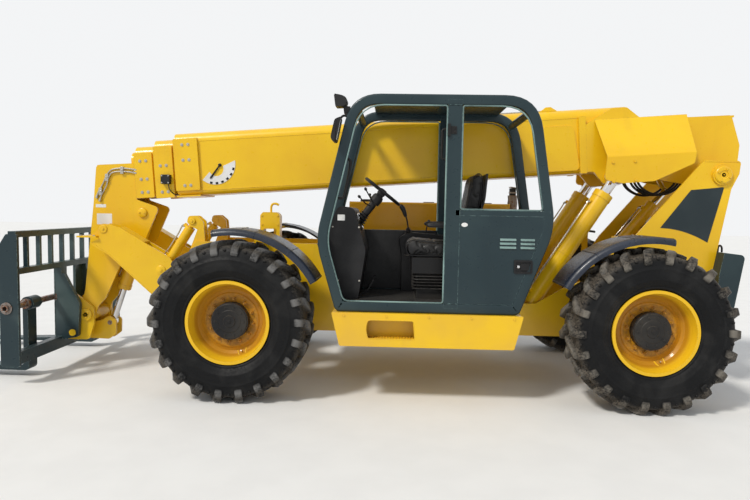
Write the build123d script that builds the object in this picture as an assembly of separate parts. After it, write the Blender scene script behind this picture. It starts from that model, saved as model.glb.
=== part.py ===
from build123d import *
import math
import os

# Telehandler: a four-wheel-drive, four-wheel-steer lifting machine with a four-section
# telescopic boom beside an open cab. Millimetres. +X is forward, +Y the cab's side, +Z up.
# Sizes below are set out from a point on the ground about midway between the axles; the written
# pieces are moved along X so that the origin lies under the middle of the overall length.

# Driving dimensions
WHEELBASE = 3477.0
FRONT_REACH = 5120.0          # fork tips ahead of that point
FRONT_AXLE_X = 1757.0
REAR_AXLE_X = FRONT_AXLE_X - WHEELBASE

# Fits and clearances
RUN_FIT = 0.05                # radial clearance of a pin in its bore
SEAT_GAP = 0.3                # gap at a seat between two pieces
SIDE_GAP = 5.0                # gap beside a moving eye or boss

# Wheels
TYRE_RADIUS = 680.0           # out to the lugs' tips
TYRE_WIDTH = 445.0
TYRE_Y = 1072.5               # middle plane of the tyre
LUG_PAIRS = 22                # lugs on each side of the tread
TREAD_DEPTH = 44.0
CARCASS_SIDE = 470.0          # radius at the widest part of the sidewall
BEAD_SETBACK = 26.0           # bead's edge behind the rim flange's inner face
# a lug from shoulder to middle: distance from the middle plane, radius, angle ahead, half width
LUG_STATIONS = (
    (221.0, 590.0, 0.0, 30.0),
    (172.0, TYRE_RADIUS, 1.5, 32.0),
    (5.0, TYRE_RADIUS, 10.0, 27.0),
)
# the groove beside it at the same three places: distance from the middle plane, radius
GROOVE_STATIONS = ((211.0, 598.0), (178.0, TYRE_RADIUS - TREAD_DEPTH), (5.0, TYRE_RADIUS - TREAD_DEPTH))
LUG_TURN = -90.0 - LUG_STATIONS[-1][2]       # one lug's inner end lies flat on the ground
LOWEST_FLAT = math.asin(LUG_STATIONS[-1][3] / TYRE_RADIUS)
AXLE_Z = TYRE_RADIUS * math.cos(LOWEST_FLAT)
BEAD_RADIUS = 322.0
RIM_FLANGE_RADIUS = 350.0
RIM_FLANGE_HALF = 190.0       # flange's outer face from the tyre's middle plane
RIM_FLANGE_THICK = 14.0
RIM_WALL = 12.0
DISC_OFFSET = 42.0            # outer face of the wheel disc from the middle plane
DISC_THICK = 20.0
HUB_RADIUS = 155.0
HUB_OUT = 112.0               # hub cap's face from the middle plane
SPINDLE_RADIUS = 75.0
SPINDLE_END = 20.0            # spindle's end from the middle plane
HUB_IN = -92.0                # hub's inner face from the middle plane

# Steering
KINGPIN_Y = 890.0
KINGPIN_RADIUS = 30.0
KNUCKLE_HALF = 120.0          # half height of the knuckle's post
KNUCKLE_RADIUS = 78.0
YOKE_THICK = 45.0
YOKE_HALF_WIDTH = 75.0
YOKE_DEPTH = 190.0            # from the king pin back to the beam
YOKE_ROOT = 42.0              # thickness of the yoke's root in front of the beam's end
STEER_ARM_BACK = 175.0        # steering arm's eye behind the king pin
STEER_ARM_IN = 40.0           # and inboard of it
STEER_ARM_THICK = 30.0
STEER_ROD_RADIUS = 17.0
STEER_BARREL_RADIUS = 42.0
STEER_BARREL_HALF = 230.0
STEER_ROD_Z = -70.0           # steering rod's height from the axle's centre

# Axles
BEAM_RADIUS = 85.0
DIFF_RADIUS = 165.0
DIFF_HALF = 150.0
AXLE_PAD_X = 190.0
AXLE_PAD_Y = 90.0

# Chassis plates, seen from the side
PLATE_OUT = 452.0
PLATE_THICK = 22.0
PLATE_IN = PLATE_OUT - PLATE_THICK
FRAME_LOW = 470.0
FRAME_DECK = 775.0
ARCH_TOP = 905.0
ARCH_HALF = 260.0
FRONT_HEAD_TOP = 1300.0
FRONT_HEAD_X = 2355.0
BELLY_THICK = 20.0

# Cylinders
NECK_LENGTH = 27.0            # from the base eye's edge to the full barrel
GLAND_SCALE = 1.06            # gland's radius over the barrel's

# Boom pivot and lifting gear
PIVOT_X = -2599.0
PIVOT_Z = 2008.0
PIVOT_RADIUS = 60.0
PIVOT_BOSS = 96.0
BOOM_TILT = 4.2               # the boom rests nose-down by this angle
LIFT_BASE = (-860.0, 680.0)
LIFT_ALONG = 922.0            # rod's pin, along the boom and above its pivot line
LIFT_UP = 44.0
LIFT_Y = 332.0
LIFT_EYE_WIDTH = 110.0
LIFT_PIN_RADIUS = 38.0
LIFT_EYE_RADIUS = 78.0
LIFT_BARREL_RADIUS = 85.0
LIFT_ROD_RADIUS = 50.0
LIFT_BARREL_LENGTH = 1350.0
LIFT_BORE = 120.0             # bore's bottom from the base pin
LIFT_ROD_START = 130.0

SLAVE_BASE = (-1620.0, 1030.0)
SLAVE_ALONG = 270.0
SLAVE_UP = -60.0
SLAVE_PIN_RADIUS = 25.0
SLAVE_EYE_RADIUS = 48.0
SLAVE_EYE_WIDTH = 70.0
SLAVE_BARREL_RADIUS = 58.0
SLAVE_ROD_RADIUS = 30.0
SLAVE_BARREL_LENGTH = 900.0
SLAVE_BORE = 82.0
SLAVE_ROD_START = 90.0

# Boom sections, in the boom's own frame: along it from the pivot and above its pivot line.
# half width, low, high, tail, nose; then the nose collar's half width, low, high, from, to
BOOM_WALL = 10.0
PAD_LENGTH = 60.0             # wear pads between the sections
PAD_INSET = 70.0              # from a section's edge to the pad's edge
BOOM_CORNER = 45.0
SECTIONS = {
    "boom_outer": (200.0, 100.0, 722.0, 740.0, 5160.0, 226.0, 150.0, 660.0, 4925.0, 5165.0),
    "boom_second": (172.0, 128.0, 672.0, 800.0, 5375.0, 206.0, 92.0, 600.0, 5190.0, 5378.0),
    "boom_third": (146.0, 152.0, 622.0, 850.0, 5585.0, 182.0, 104.0, 548.0, 5405.0, 5588.0),
    "boom_fly": (120.0, 176.0, 575.0, 900.0, 5640.0, 0.0, 0.0, 0.0, 0.0, 0.0),
}
TAIL_PLATE_IN = 212.0
TAIL_PLATE_THICK = 22.0
SHROUD_OUT = 450.0
SHROUD_WALL = 16.0

# Boom head, outline in X and Z at rest
HEAD_OUT = 160.0
HEAD_PLATE = 20.0
TILT_PIVOT = (3505.0, 520.0)
TILT_PIN_RADIUS = 40.0
TILT_TOP = (2930.0, 1560.0)
TILT_EYE = (3326.0, 417.0)
TILT_EYE_PIN = 28.0
TILT_EYE_RADIUS = 52.0
TILT_EYE_WIDTH = 80.0
TILT_BARREL_RADIUS = 66.0
TILT_ROD_RADIUS = 34.0
TILT_BARREL_LENGTH = 835.0
TILT_BORE = 90.0
TILT_ROD_START = 330.0

# Fork carriage
COUPLER_IN = 170.0
COUPLER_PLATE = 25.0
LOCK_PIN = (3612.0, 345.0)
LOCK_PIN_RADIUS = 24.0
LOCK_PIN_REACH = 265.0
CARRIAGE_HALF = 955.0
CARRIAGE_X = 3720.0           # rear face of the carriage's bars
CARRIAGE_DEPTH = 70.0
CARRIAGE_TOP = 1385.0
CARRIAGE_MID = 1000.0
CARRIAGE_LOW = 190.0
CARRIAGE_LOW_TOP = 305.0
CARRIAGE_BAR = 55.0
UPRIGHT_OUT = 257.0           # outer side of the carriage's uprights
UPRIGHT_IN = 212.0
TOWER_PLATE_IN = 80.0         # inner edge of the plates between the uprights
TOWER_PLATE_THICK = 25.0
END_PLATE_THICK = 30.0
END_PLATE_FRONT = 3880.0
END_PLATE_LOW = 170.0
SHAFT_X = 3815.0
SHAFT_Z = 700.0
SHAFT_RADIUS = 30.0
SHAFT_PROUD = 30.0            # shaft's end beyond the end plates
COLLAR_RADIUS = 46.0          # collars that clamp the forks at their width
FORK_Y = 600.0
FORK_WIDTH = 130.0
FORK_THICK = 50.0
FORK_LOW = 62.0
FORK_EYE_RADIUS = 62.0

# Stabilisers
STAB_Y = 375.0
STAB_PIVOT = (2470.0, 810.0)
STAB_BASE = (2330.0, 1490.0)
STAB_EYE = (2630.0, 1014.0)
STAB_PAD_PIN = (3190.0, 1400.0)
STAB_HALF = 75.0
STAB_PLATE = 16.0
STAB_EAR = 18.0
STAB_PAD_HALF = 110.0
STAB_PIVOT_RADIUS = 45.0
STAB_PIN_RADIUS = 25.0
STAB_EYE_RADIUS = 42.0
STAB_EYE_WIDTH = 60.0
STAB_BARREL_RADIUS = 46.0
STAB_ROD_RADIUS = 26.0
STAB_BARREL_LENGTH = 500.0
STAB_BORE = 76.0
STAB_ROD_START = 85.0

# Cab
CAB_OUT = 1170.0
CAB_IN = 252.0
CAB_TUBE = 85.0
CAB_LOW = 781.0
CAB_FRAME_THICK = 60.0
CAB_CORNER = 110.0
CAB_PANEL = 30.0
QUARTER_INSET = 2.0           # quarter panel's face behind the frame's
LOUVRE_PROUD = 9.0            # louvre blades stand out of the panel
LOUVRE_HEIGHT = 22.0
LOUVRE_PITCH = 32.0
LOUVRES_UP = 3
# louvre groups on the quarter panel: rear X, front X, lowest Z
LOUVRES = ((-598.0, -466.0, 1333.0), (-748.0, -634.0, 1333.0))
WAIST_Z = 1620.0
PILLAR_FRONT = -20.0
PILLAR_REAR = -134.0
# corners of the cab seen from its side: X, Z, corner radius
CAB_OUTLINE = (
    (876.0, CAB_LOW, 40.0),
    (1050.0, 1373.0, 90.0),
    (786.0, 2483.0, 60.0),
    (640.0, 2573.0, 110.0),
    (-620.0, 2573.0, 110.0),
    (-775.0, 2375.0, 60.0),
    (-915.0, 1510.0, 90.0),
    (-642.0, CAB_LOW, 40.0),
)
LAMP_PLACE = (905.0, 2268.0)  # back of the work lamp below the mirror
LAMP_RADIUS = 48.0
FLOOR_TOP = 860.0
FLOOR_FRONT = 800.0
FLOOR_REAR = -570.0

# Step box under the cab
STEP_OUT = 1200.0
STEP_IN = 800.0
STEP_WALL = 10.0
STEP_LOW = 500.0

# Fenders
FENDER_RADIUS = 802.0
FENDER_THICK = 22.0
FENDER_DROP = 50.0            # the fender's arc is centred this far below the axle
FENDER_LIP = 36.0             # the outer lip turns down by this
FENDER_LIP_THICK = 14.0
FENDER_IN = 790.0
FENDER_OUT = 1170.0
FENDER_START = 78.0           # degrees from straight ahead, seen about the axle
FENDER_END = 151.0
FENDER_RAIL_BACK = 60.0       # bracket behind (in front of, at the rear) the axle
FENDER_RAIL_HALF = 30.0

# Engine side
HOOD_IN = 470.0
HOOD_OUT = 1180.0
HOOD_FRONT = 900.0
HOOD_REAR = -850.0
HOOD_LOW = 600.0
HOOD_SHOULDER = 1500.0
HOOD_TOP = 1720.0
HOOD_WALL = 20.0

# Counterweight
REAR_EDGE_X = -2555.0         # rear edge of the side plates
REAR_BREAK_Z = 1085.0         # above this the rear edge leans back to the tower's back
TOWER_BACK = (-2690.0, 1880.0)
WEIGHT_REAR = -2780.0
WEIGHT_SLANT = 75.0           # its rear face leans forward by this towards the bottom
WEIGHT_LOW = 720.0
WEIGHT_TOP = 1300.0
WEIGHT_HALF = 580.0


# Plain operations

def rounded_face(corners):
    """A flat face from corners (u, v, radius), each corner rounded by its radius."""
    points = [Vector(c[0], c[1]) for c in corners]
    radii = [c[2] if len(c) > 2 else 0.0 for c in corners]
    count = len(points)
    starts, ends, arcs = [], [], []
    for i in range(count):
        here = points[i]
        if radii[i] <= 0:
            starts.append(here)
            ends.append(here)
            arcs.append(None)
            continue
        back = (points[i - 1] - here).normalized()
        on = (points[(i + 1) % count] - here).normalized()
        half = math.radians(back.get_angle(on)) / 2
        reach = radii[i] / math.tan(half)
        bisector = (back + on).normalized()
        nearest = here + bisector * (radii[i] / math.sin(half) - radii[i])
        starts.append(here + back * reach)
        ends.append(here + on * reach)
        arcs.append(nearest)
    edges = []
    for i in range(count):
        if arcs[i] is not None:
            edges.append(ThreePointArc(starts[i], arcs[i], ends[i]))
        following = starts[(i + 1) % count]
        if (following - ends[i]).length > 1e-4:
            edges.append(Line(ends[i], following))
    return make_face(edges)


def along_y(corners, low, high):
    """Prism across the machine: corners are (X, Z, radius)."""
    solid = extrude(rounded_face(corners), amount=high - low)
    return Plane(origin=(0, high, 0), x_dir=(1, 0, 0), z_dir=(0, -1, 0)).location * solid


def along_x(corners, low, high):
    """Prism along the machine: corners are (Y, Z, radius)."""
    solid = extrude(rounded_face(corners), amount=high - low)
    return Plane(origin=(low, 0, 0), x_dir=(0, 1, 0), z_dir=(1, 0, 0)).location * solid


def along_z(corners, low, high):
    """Upright prism: corners are (X, Y, radius)."""
    return Pos(0, 0, low) * extrude(rounded_face(corners), amount=high - low)


def block(x, y, z):
    """Box from three (low, high) pairs."""
    size = [pair[1] - pair[0] for pair in (x, y, z)]
    middle = [(pair[1] + pair[0]) / 2 for pair in (x, y, z)]
    return Pos(*middle) * Box(*size)


def bar(start, end, radius):
    """Round bar between two points."""
    a, b = Vector(*start), Vector(*end)
    plane = Plane(origin=a, z_dir=b - a)
    return plane.location * extrude(Circle(radius), amount=(b - a).length)


def cross_bar(place, radius, low, high):
    """Round bar across the machine at (X, Z) from low to high Y."""
    return bar((place[0], low, place[1]), (place[0], high, place[1]), radius)


def turned(profile, centre, direction):
    """Turned piece from (radius, distance) corners, about an axis through centre."""
    face = make_face(Polyline(*[(r, d) for r, d in profile], close=True))
    solid = revolve(Plane.XZ.location * face, axis=Axis.Z)
    return Plane(origin=centre, z_dir=direction).location * solid


def polar(centre, radius, degrees):
    """Point in the side view at an angle from straight ahead."""
    angle = math.radians(degrees)
    return (centre[0] + radius * math.cos(angle), centre[1] + radius * math.sin(angle))


def inset(corners, amount):
    """The same convex outline moved inwards by amount; rounding radii shrink to suit."""
    count = len(corners)
    middle = Vector(sum(c[0] for c in corners) / count, sum(c[1] for c in corners) / count)
    lines = []
    for i in range(count):
        a = Vector(corners[i][0], corners[i][1])
        b = Vector(corners[(i + 1) % count][0], corners[(i + 1) % count][1])
        run = (b - a).normalized()
        normal = Vector(-run.Y, run.X)
        if normal.dot(middle - a) < 0:
            normal = normal * -1
        lines.append((a + normal * amount, run))
    result = []
    for i in range(count):
        (p, r), (q, s) = lines[i - 1], lines[i]
        step = ((q.X - p.X) * s.Y - (q.Y - p.Y) * s.X) / (r.X * s.Y - r.Y * s.X)
        result.append((p.X + r.X * step, p.Y + r.Y * step, max(corners[i][2] - amount, 12.0)))
    return result


def both_sides(shape):
    """A piece and its mirror image on the other side of the machine."""
    return shape + mirror(shape, about=Plane.XZ)


BOOM_PLACE = Location((PIVOT_X, 0, PIVOT_Z), (0, BOOM_TILT, 0))


def on_boom(along, up):
    """X and Z of a point given along the boom from its pivot and above it."""
    tilt = math.radians(BOOM_TILT)
    return (
        PIVOT_X + along * math.cos(tilt) + up * math.sin(tilt),
        PIVOT_Z - along * math.sin(tilt) + up * math.cos(tilt),
    )


LIFT_PIN = on_boom(LIFT_ALONG, LIFT_UP)
SLAVE_PIN = on_boom(SLAVE_ALONG, SLAVE_UP)


def cylinder_barrel(base, tip, y, eye, pin, width, radius, rod, length, bore):
    """Barrel of a cylinder from its base eye towards tip; the bore for the rod is open."""
    heading = Vector(tip[0] - base[0], 0, tip[1] - base[1]).normalized()
    foot = Vector(base[0], y, base[1])
    neck = eye + NECK_LENGTH
    body = bar(foot + heading * neck, foot + heading * length, radius)
    body += bar(foot, foot + heading * (neck + 5), width / 2 - 4)
    body += cross_bar(base, eye, y - width / 2, y + width / 2)
    gland = bar(foot + heading * (length - radius * 0.7), foot + heading * length, radius * GLAND_SCALE)
    body += gland
    body -= bar(foot + heading * bore, foot + heading * (length + 1), rod + RUN_FIT)
    return body - cross_bar(base, pin + RUN_FIT, y - width, y + width)


def cylinder_rod(base, tip, y, eye, width, rod, start):
    """Rod of a cylinder with the eye at its tip, which meets its pin at the eye's middle."""
    heading = Vector(tip[0] - base[0], 0, tip[1] - base[1]).normalized()
    foot = Vector(base[0], y, base[1])
    body = bar(foot + heading * start, Vector(tip[0], y, tip[1]), rod)
    return body + cross_bar(tip, eye, y - width / 2, y + width / 2)


# Chassis

def chassis_frame():
    """Two side plates rising into the boom tower, with cross members and carriers."""
    outline = [
        (FRONT_HEAD_X, FRAME_DECK - 75, 40), (FRONT_HEAD_X, 1200, 40),
        (2290, FRONT_HEAD_TOP, 30), (1100, FRONT_HEAD_TOP, 60),
        (1000, 1000, 60), (945, FRAME_DECK, 30), (-940, FRAME_DECK, 60), (-1200, 930, 80),
        (-1640, 1110, 60), (-1810, 1394, 60), (-2400, 2100, 20), (-2440, 2140, 20),
        (-2765, 2140, 30), (-2755, 2020, 30), (*TOWER_BACK, 30), (REAR_EDGE_X, REAR_BREAK_Z, 30),
        (REAR_EDGE_X, FRAME_DECK, 60), (REAR_AXLE_X - ARCH_HALF, ARCH_TOP, 80),
        (REAR_AXLE_X + ARCH_HALF, ARCH_TOP, 80), (-1330, FRAME_LOW, 60),
        (1330, FRAME_LOW, 60), (FRONT_AXLE_X - ARCH_HALF, ARCH_TOP, 80),
        (FRONT_AXLE_X + ARCH_HALF, ARCH_TOP, 80),
    ]
    frame = both_sides(along_y(outline, PLATE_IN, PLATE_OUT))
    inner = (-PLATE_IN, PLATE_IN)
    frame += block((-1300, 1300), inner, (FRAME_LOW, FRAME_LOW + BELLY_THICK))
    frame += block((2150, FRONT_HEAD_X - 5), inner, (FRAME_DECK - 75, 1150))
    frame += block((1120, 1330), inner, (980, 1180))
    frame += block((REAR_EDGE_X + 10, REAR_EDGE_X + 40), inner, (800, 1500))
    frame += block((REAR_EDGE_X + 40, -2200), inner, (ARCH_TOP + 25, ARCH_TOP + 55))
    frame += block((-1595, -1530), inner, (ARCH_TOP, ARCH_TOP + 40))
    frame += cross_bar(LIFT_BASE, LIFT_PIN_RADIUS, *inner)
    frame += cross_bar((PIVOT_X, PIVOT_Z), PIVOT_RADIUS, -PLATE_OUT - 18, PLATE_OUT + 18)
    frame += cross_bar((PIVOT_X, PIVOT_Z), PIVOT_RADIUS + 32, PLATE_OUT, PLATE_OUT + 22)
    frame += cross_bar((PIVOT_X, PIVOT_Z), PIVOT_RADIUS + 32, -PLATE_OUT - 22, -PLATE_OUT)
    for ear in (-1, 1):
        mid = ear * (SLAVE_EYE_WIDTH / 2 + SIDE_GAP + 15)
        ears = [(-1672, ARCH_TOP + 10, 0), (-1540, ARCH_TOP + 10, 0), (-1565, 1080, 45),
                (-1675, 1080, 45)]
        frame += along_y(ears, mid - 15, mid + 15)
    reach = SLAVE_EYE_WIDTH / 2 + SIDE_GAP + 35
    frame += cross_bar(SLAVE_BASE, SLAVE_PIN_RADIUS, -reach, reach)
    for x in (-500, 690):
        frame += block((x, x + 90), (CAB_IN + 10, STEP_IN - SEAT_GAP), (690, CAB_LOW - SEAT_GAP))
    frame += block((HOOD_REAR, HOOD_FRONT), (-HOOD_OUT, -PLATE_OUT), (HOOD_LOW - 70, HOOD_LOW))
    frame += stabiliser_carriers()
    frame += fender_brackets()
    return frame + level_tower()


def stabiliser_carriers():
    """Ears that hold a stabiliser's pivot and the top of its cylinder, on both sides."""
    ears = []
    arm_side = STAB_HALF + SIDE_GAP
    for side in (STAB_Y - arm_side - STAB_EAR, STAB_Y + arm_side):
        shape = [(FRONT_HEAD_X - 15, 725, 0), (2480, 725, 60), (2545, 810, 60), (2480, 895, 60),
                 (FRONT_HEAD_X - 15, 925, 0)]
        ears.append(along_y(shape, side, side + STAB_EAR))
    eye_side = STAB_EYE_WIDTH / 2 + SIDE_GAP
    for side in (STAB_Y - eye_side - 20, STAB_Y + eye_side):
        shape = [(2200, 1180, 10), (2370, 1180, 10), (2283, 1412, 10), (2345, 1440, 20),
                 (2385, 1480, 30), (2370, 1540, 30), (2290, 1545, 40), (2225, 1490, 40)]
        ears.append(along_y(shape, side, side + 20))
    seat = block((2200, 2360), (STAB_Y - eye_side - 20, PLATE_IN + 5), (1175, 1205))
    foot = block((FRONT_HEAD_X - 30, FRONT_HEAD_X), (PLATE_IN, STAB_Y + arm_side + STAB_EAR), (725, 925))
    pins = cross_bar(STAB_PIVOT, STAB_PIVOT_RADIUS, STAB_Y - arm_side - 25,
                     STAB_Y + arm_side + STAB_EAR)
    pins += cross_bar(STAB_BASE, STAB_PIN_RADIUS, STAB_Y - eye_side - 28, STAB_Y + eye_side + 28)
    shape = seat + foot + pins
    for ear in ears:
        shape += ear
    return both_sides(shape)


def fender_brackets():
    """Bars that carry the four fenders above the tyres."""
    corner = FENDER_RAIL_BACK + FENDER_RAIL_HALF
    top = AXLE_Z - FENDER_DROP + math.sqrt(FENDER_RADIUS ** 2 - corner ** 2) - SEAT_GAP
    shape = None
    for x, base in ((FRONT_AXLE_X - FENDER_RAIL_BACK, 1200), (REAR_AXLE_X + FENDER_RAIL_BACK, 1100)):
        width = (x - FENDER_RAIL_HALF, x + FENDER_RAIL_HALF)
        post = block(width, (PLATE_IN, PLATE_OUT), (base, top))
        rail = block(width, (PLATE_IN, FENDER_OUT - 120), (top - 22, top))
        shape = post + rail if shape is None else shape + post + rail
    return both_sides(shape)


def level_tower():
    """Housing above the front frame that holds the frame-levelling cylinder's top."""
    outline = [(1500, FRONT_HEAD_TOP - 120, 10), (1500, 1560, 30), (1530, 1590, 25),
               (1665, 1590, 25), (1690, 1560, 30), (1690, FRONT_HEAD_TOP - 120, 10)]
    tower = along_y(outline, 270, 380)
    tower -= block((1535, 1655), (260, 390), (1190, 1430))
    tower += block((1480, 1710), (255, PLATE_IN + 5), (FRONT_HEAD_TOP - 140, FRONT_HEAD_TOP - 110))
    return tower


def counterweight():
    """Cast block across the back of the frame."""
    front = REAR_EDGE_X - SEAT_GAP
    slope = (REAR_EDGE_X - TOWER_BACK[0]) / (TOWER_BACK[1] - REAR_BREAK_Z)
    lean = slope * (WEIGHT_TOP - REAR_BREAK_Z)
    outline = [(front, WEIGHT_LOW, 20), (front, REAR_BREAK_Z, 0), (front - lean, WEIGHT_TOP, 0),
               (WEIGHT_REAR, WEIGHT_TOP - 20, 40),
               (WEIGHT_REAR + WEIGHT_SLANT, WEIGHT_LOW + 60, 80),
               (WEIGHT_REAR + WEIGHT_SLANT + 45, WEIGHT_LOW, 40)]
    return along_y(outline, -WEIGHT_HALF, WEIGHT_HALF)


# Axles, steering and wheels

def axle(x):
    """Rigid axle: beam, differential, mounting pads, yokes and the steering barrel."""
    beam = bar((x, -KINGPIN_Y + YOKE_DEPTH, AXLE_Z), (x, KINGPIN_Y - YOKE_DEPTH, AXLE_Z), BEAM_RADIUS)
    diff = turned(
        [(0, -DIFF_HALF), (80, -DIFF_HALF), (DIFF_RADIUS, -50), (DIFF_RADIUS, 50),
         (80, DIFF_HALF), (0, DIFF_HALF)], (x, 0, AXLE_Z), (0, 1, 0))
    facing = 1 if x < 0 else -1
    nose = bar((x, 0, AXLE_Z), (x + facing * 290, 0, AXLE_Z), 85)
    body = beam + diff + nose
    pad = block((x - AXLE_PAD_X / 2, x + AXLE_PAD_X / 2),
                (PLATE_OUT - 130, PLATE_OUT - 130 + AXLE_PAD_Y),
                (AXLE_Z + 20, ARCH_TOP + 25))
    pad += block((x - AXLE_PAD_X / 2, x + AXLE_PAD_X / 2), (PLATE_OUT - 130, PLATE_IN - SEAT_GAP),
                 (ARCH_TOP + 5, ARCH_TOP + 60))
    body += both_sides(pad)
    body += both_sides(yoke(x))
    barrel_x = x - facing * STEER_ARM_BACK
    barrel_z = AXLE_Z + STEER_ROD_Z
    barrel = bar((barrel_x, -STEER_BARREL_HALF, barrel_z), (barrel_x, STEER_BARREL_HALF, barrel_z),
                 STEER_BARREL_RADIUS)
    web = block((min(x, barrel_x), max(x, barrel_x)), (-60, 60), (barrel_z - 25, barrel_z + 25))
    body += barrel + web
    body -= bar((barrel_x, -STEER_BARREL_HALF - 1, barrel_z), (barrel_x, STEER_BARREL_HALF + 1, barrel_z),
                STEER_ROD_RADIUS + RUN_FIT)
    return body


def yoke(x):
    """Fork at the end of the axle beam that holds the king pins."""
    inner = KINGPIN_Y - YOKE_DEPTH
    low = KNUCKLE_HALF + SIDE_GAP
    root = block((x - YOKE_HALF_WIDTH, x + YOKE_HALF_WIDTH), (inner - 20, inner + YOKE_ROOT),
                 (AXLE_Z - low - YOKE_THICK, AXLE_Z + low + YOKE_THICK))
    shape = root
    for side in (-1, 1):
        z = AXLE_Z + side * (low + YOKE_THICK / 2)
        arm = block((x - YOKE_HALF_WIDTH, x + YOKE_HALF_WIDTH), (inner, KINGPIN_Y),
                    (z - YOKE_THICK / 2, z + YOKE_THICK / 2))
        arm += bar((x, KINGPIN_Y, z - YOKE_THICK / 2), (x, KINGPIN_Y, z + YOKE_THICK / 2),
                   YOKE_HALF_WIDTH)
        shape += arm
    return shape - bar((x, KINGPIN_Y, AXLE_Z - low - YOKE_THICK - 1),
                       (x, KINGPIN_Y, AXLE_Z + low + YOKE_THICK + 1), KINGPIN_RADIUS + RUN_FIT)


def knuckle(x):
    """Left-hand steering knuckle: post with king pins, spindle and steering arm."""
    facing = 1 if x < 0 else -1
    post = bar((x, KINGPIN_Y, AXLE_Z - KNUCKLE_HALF), (x, KINGPIN_Y, AXLE_Z + KNUCKLE_HALF),
               KNUCKLE_RADIUS)
    reach = KNUCKLE_HALF + SIDE_GAP + YOKE_THICK
    post += bar((x, KINGPIN_Y, AXLE_Z - reach), (x, KINGPIN_Y, AXLE_Z + reach), KINGPIN_RADIUS)
    post += bar((x, KINGPIN_Y, AXLE_Z), (x, TYRE_Y + HUB_IN - SIDE_GAP, AXLE_Z), 105)
    post += bar((x, KINGPIN_Y, AXLE_Z), (x, TYRE_Y + SPINDLE_END, AXLE_Z), SPINDLE_RADIUS)
    eye = (x - facing * STEER_ARM_BACK, KINGPIN_Y - STEER_ARM_IN)
    arm_low = AXLE_Z + STEER_ROD_Z + STEER_ROD_RADIUS + SIDE_GAP
    arm = along_z([(x, KINGPIN_Y - KNUCKLE_RADIUS + 8, 0), (eye[0], eye[1] - 26, 0),
                   (eye[0], eye[1] + 26, 0), (x, KINGPIN_Y + 30, 0)][::facing],
                  arm_low, arm_low + STEER_ARM_THICK)
    arm += bar((eye[0], eye[1], arm_low), (eye[0], eye[1], arm_low + STEER_ARM_THICK), 32)
    return post + arm


def steer_rod(x):
    """Rod through the steering barrel with a ball eye at each end."""
    facing = 1 if x < 0 else -1
    rod_x = x - facing * STEER_ARM_BACK
    rod_z = AXLE_Z + STEER_ROD_Z
    reach = KINGPIN_Y - STEER_ARM_IN
    rod = bar((rod_x, -reach, rod_z), (rod_x, reach, rod_z), STEER_ROD_RADIUS)
    for side in (-1, 1):
        rod += bar((rod_x, side * reach, rod_z - 24), (rod_x, side * reach, rod_z + STEER_ROD_RADIUS), 27)
    return rod


def on_tyre(radius, degrees, along):
    """Point at a radius and an angle from straight ahead, along the axle from the middle plane."""
    angle = math.radians(degrees)
    return Vector(radius * math.cos(angle), along, radius * math.sin(angle))


def flat_face(*points):
    """A flat face through its corners."""
    return make_face(Polyline(*points, close=True))


def tyre_half(side):
    """Rings of points on one side of the tyre, and the faces between them.

    Each lug has a line of points along its two long edges; the lines go on down the sidewall.
    """
    pitch = 360.0 / LUG_PAIRS
    bead = RIM_FLANGE_HALF - RIM_FLANGE_THICK - BEAD_SETBACK
    bead_radius = (BEAD_RADIUS + SEAT_GAP) / math.cos(math.radians(pitch / 4))
    side_spread = math.degrees(math.asin(LUG_STATIONS[0][3] / CARCASS_SIDE))
    rings = {name: [] for name in ("bead", "side", "lug", "groove")}
    for i in range(LUG_PAIRS):
        turn = LUG_TURN + (i if side > 0 else i + 0.5) * pitch
        for edge in (-1, 1):
            rings["bead"].append(on_tyre(bead_radius, turn + edge * pitch / 4, side * bead))
            rings["side"].append(on_tyre(CARCASS_SIDE, turn + edge * side_spread,
                                         side * TYRE_WIDTH / 2))
            lug_line, groove_line = [], []
            for (along, radius, ahead, half), (g_along, g_radius) in zip(LUG_STATIONS, GROOVE_STATIONS):
                place = turn + ahead + edge * math.degrees(math.asin(half / radius))
                lug_line.append(on_tyre(radius, place, side * along))
                groove_line.append(on_tyre(g_radius, place, side * g_along))
            rings["lug"].append(lug_line)
            rings["groove"].append(groove_line)
    faces = []
    count = 2 * LUG_PAIRS
    for i in range(count):
        j = (i + 1) % count
        faces += two_flats(rings["bead"][i], rings["bead"][j], rings["side"][j], rings["side"][i])
        line, following = (rings["lug" if i % 2 == 0 else "groove"][k] for k in (i, j))
        faces.append(flat_face(rings["side"][i], rings["side"][j], following[0], line[0]))
        for k in range(2):
            faces += two_flats(line[k], following[k], following[k + 1], line[k + 1])
        if i % 2 == 0:
            low, next_low = rings["groove"][i], rings["groove"][j]
            faces.append(flat_face(line[-1], following[-1], next_low[-1], low[-1]))
        high, low = rings["lug"][i], rings["groove"][i]
        faces.append(flat_face(rings["side"][i], high[0], low[0]))
        for k in range(2):
            faces += two_flats(high[k], high[k + 1], low[k + 1], low[k])
    return rings, faces


def two_flats(a, b, c, d):
    """The two triangles of a four-cornered patch that may be twisted."""
    return [flat_face(a, b, c), flat_face(a, c, d)]


def zip_rings(ring, other):
    """Triangles between two rings whose points lie at different angles, both in turning order."""
    def turn_of(point):
        return math.degrees(math.atan2(point.Z, point.X)) % 360

    ring, other = sorted(ring, key=turn_of), sorted(other, key=turn_of)
    faces, i, j = [], 0, 0
    while i < len(ring) or j < len(other):
        here, there = ring[i % len(ring)], other[j % len(other)]
        ahead = turn_of(ring[(i + 1) % len(ring)]) + 360 * ((i + 1) // len(ring))
        beyond = turn_of(other[(j + 1) % len(other)]) + 360 * ((j + 1) // len(other))
        if j == len(other) or (i < len(ring) and ahead <= beyond):
            faces.append(flat_face(here, ring[(i + 1) % len(ring)], there))
            i += 1
        else:
            faces.append(flat_face(here, other[(j + 1) % len(other)], there))
            j += 1
    return faces


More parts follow.
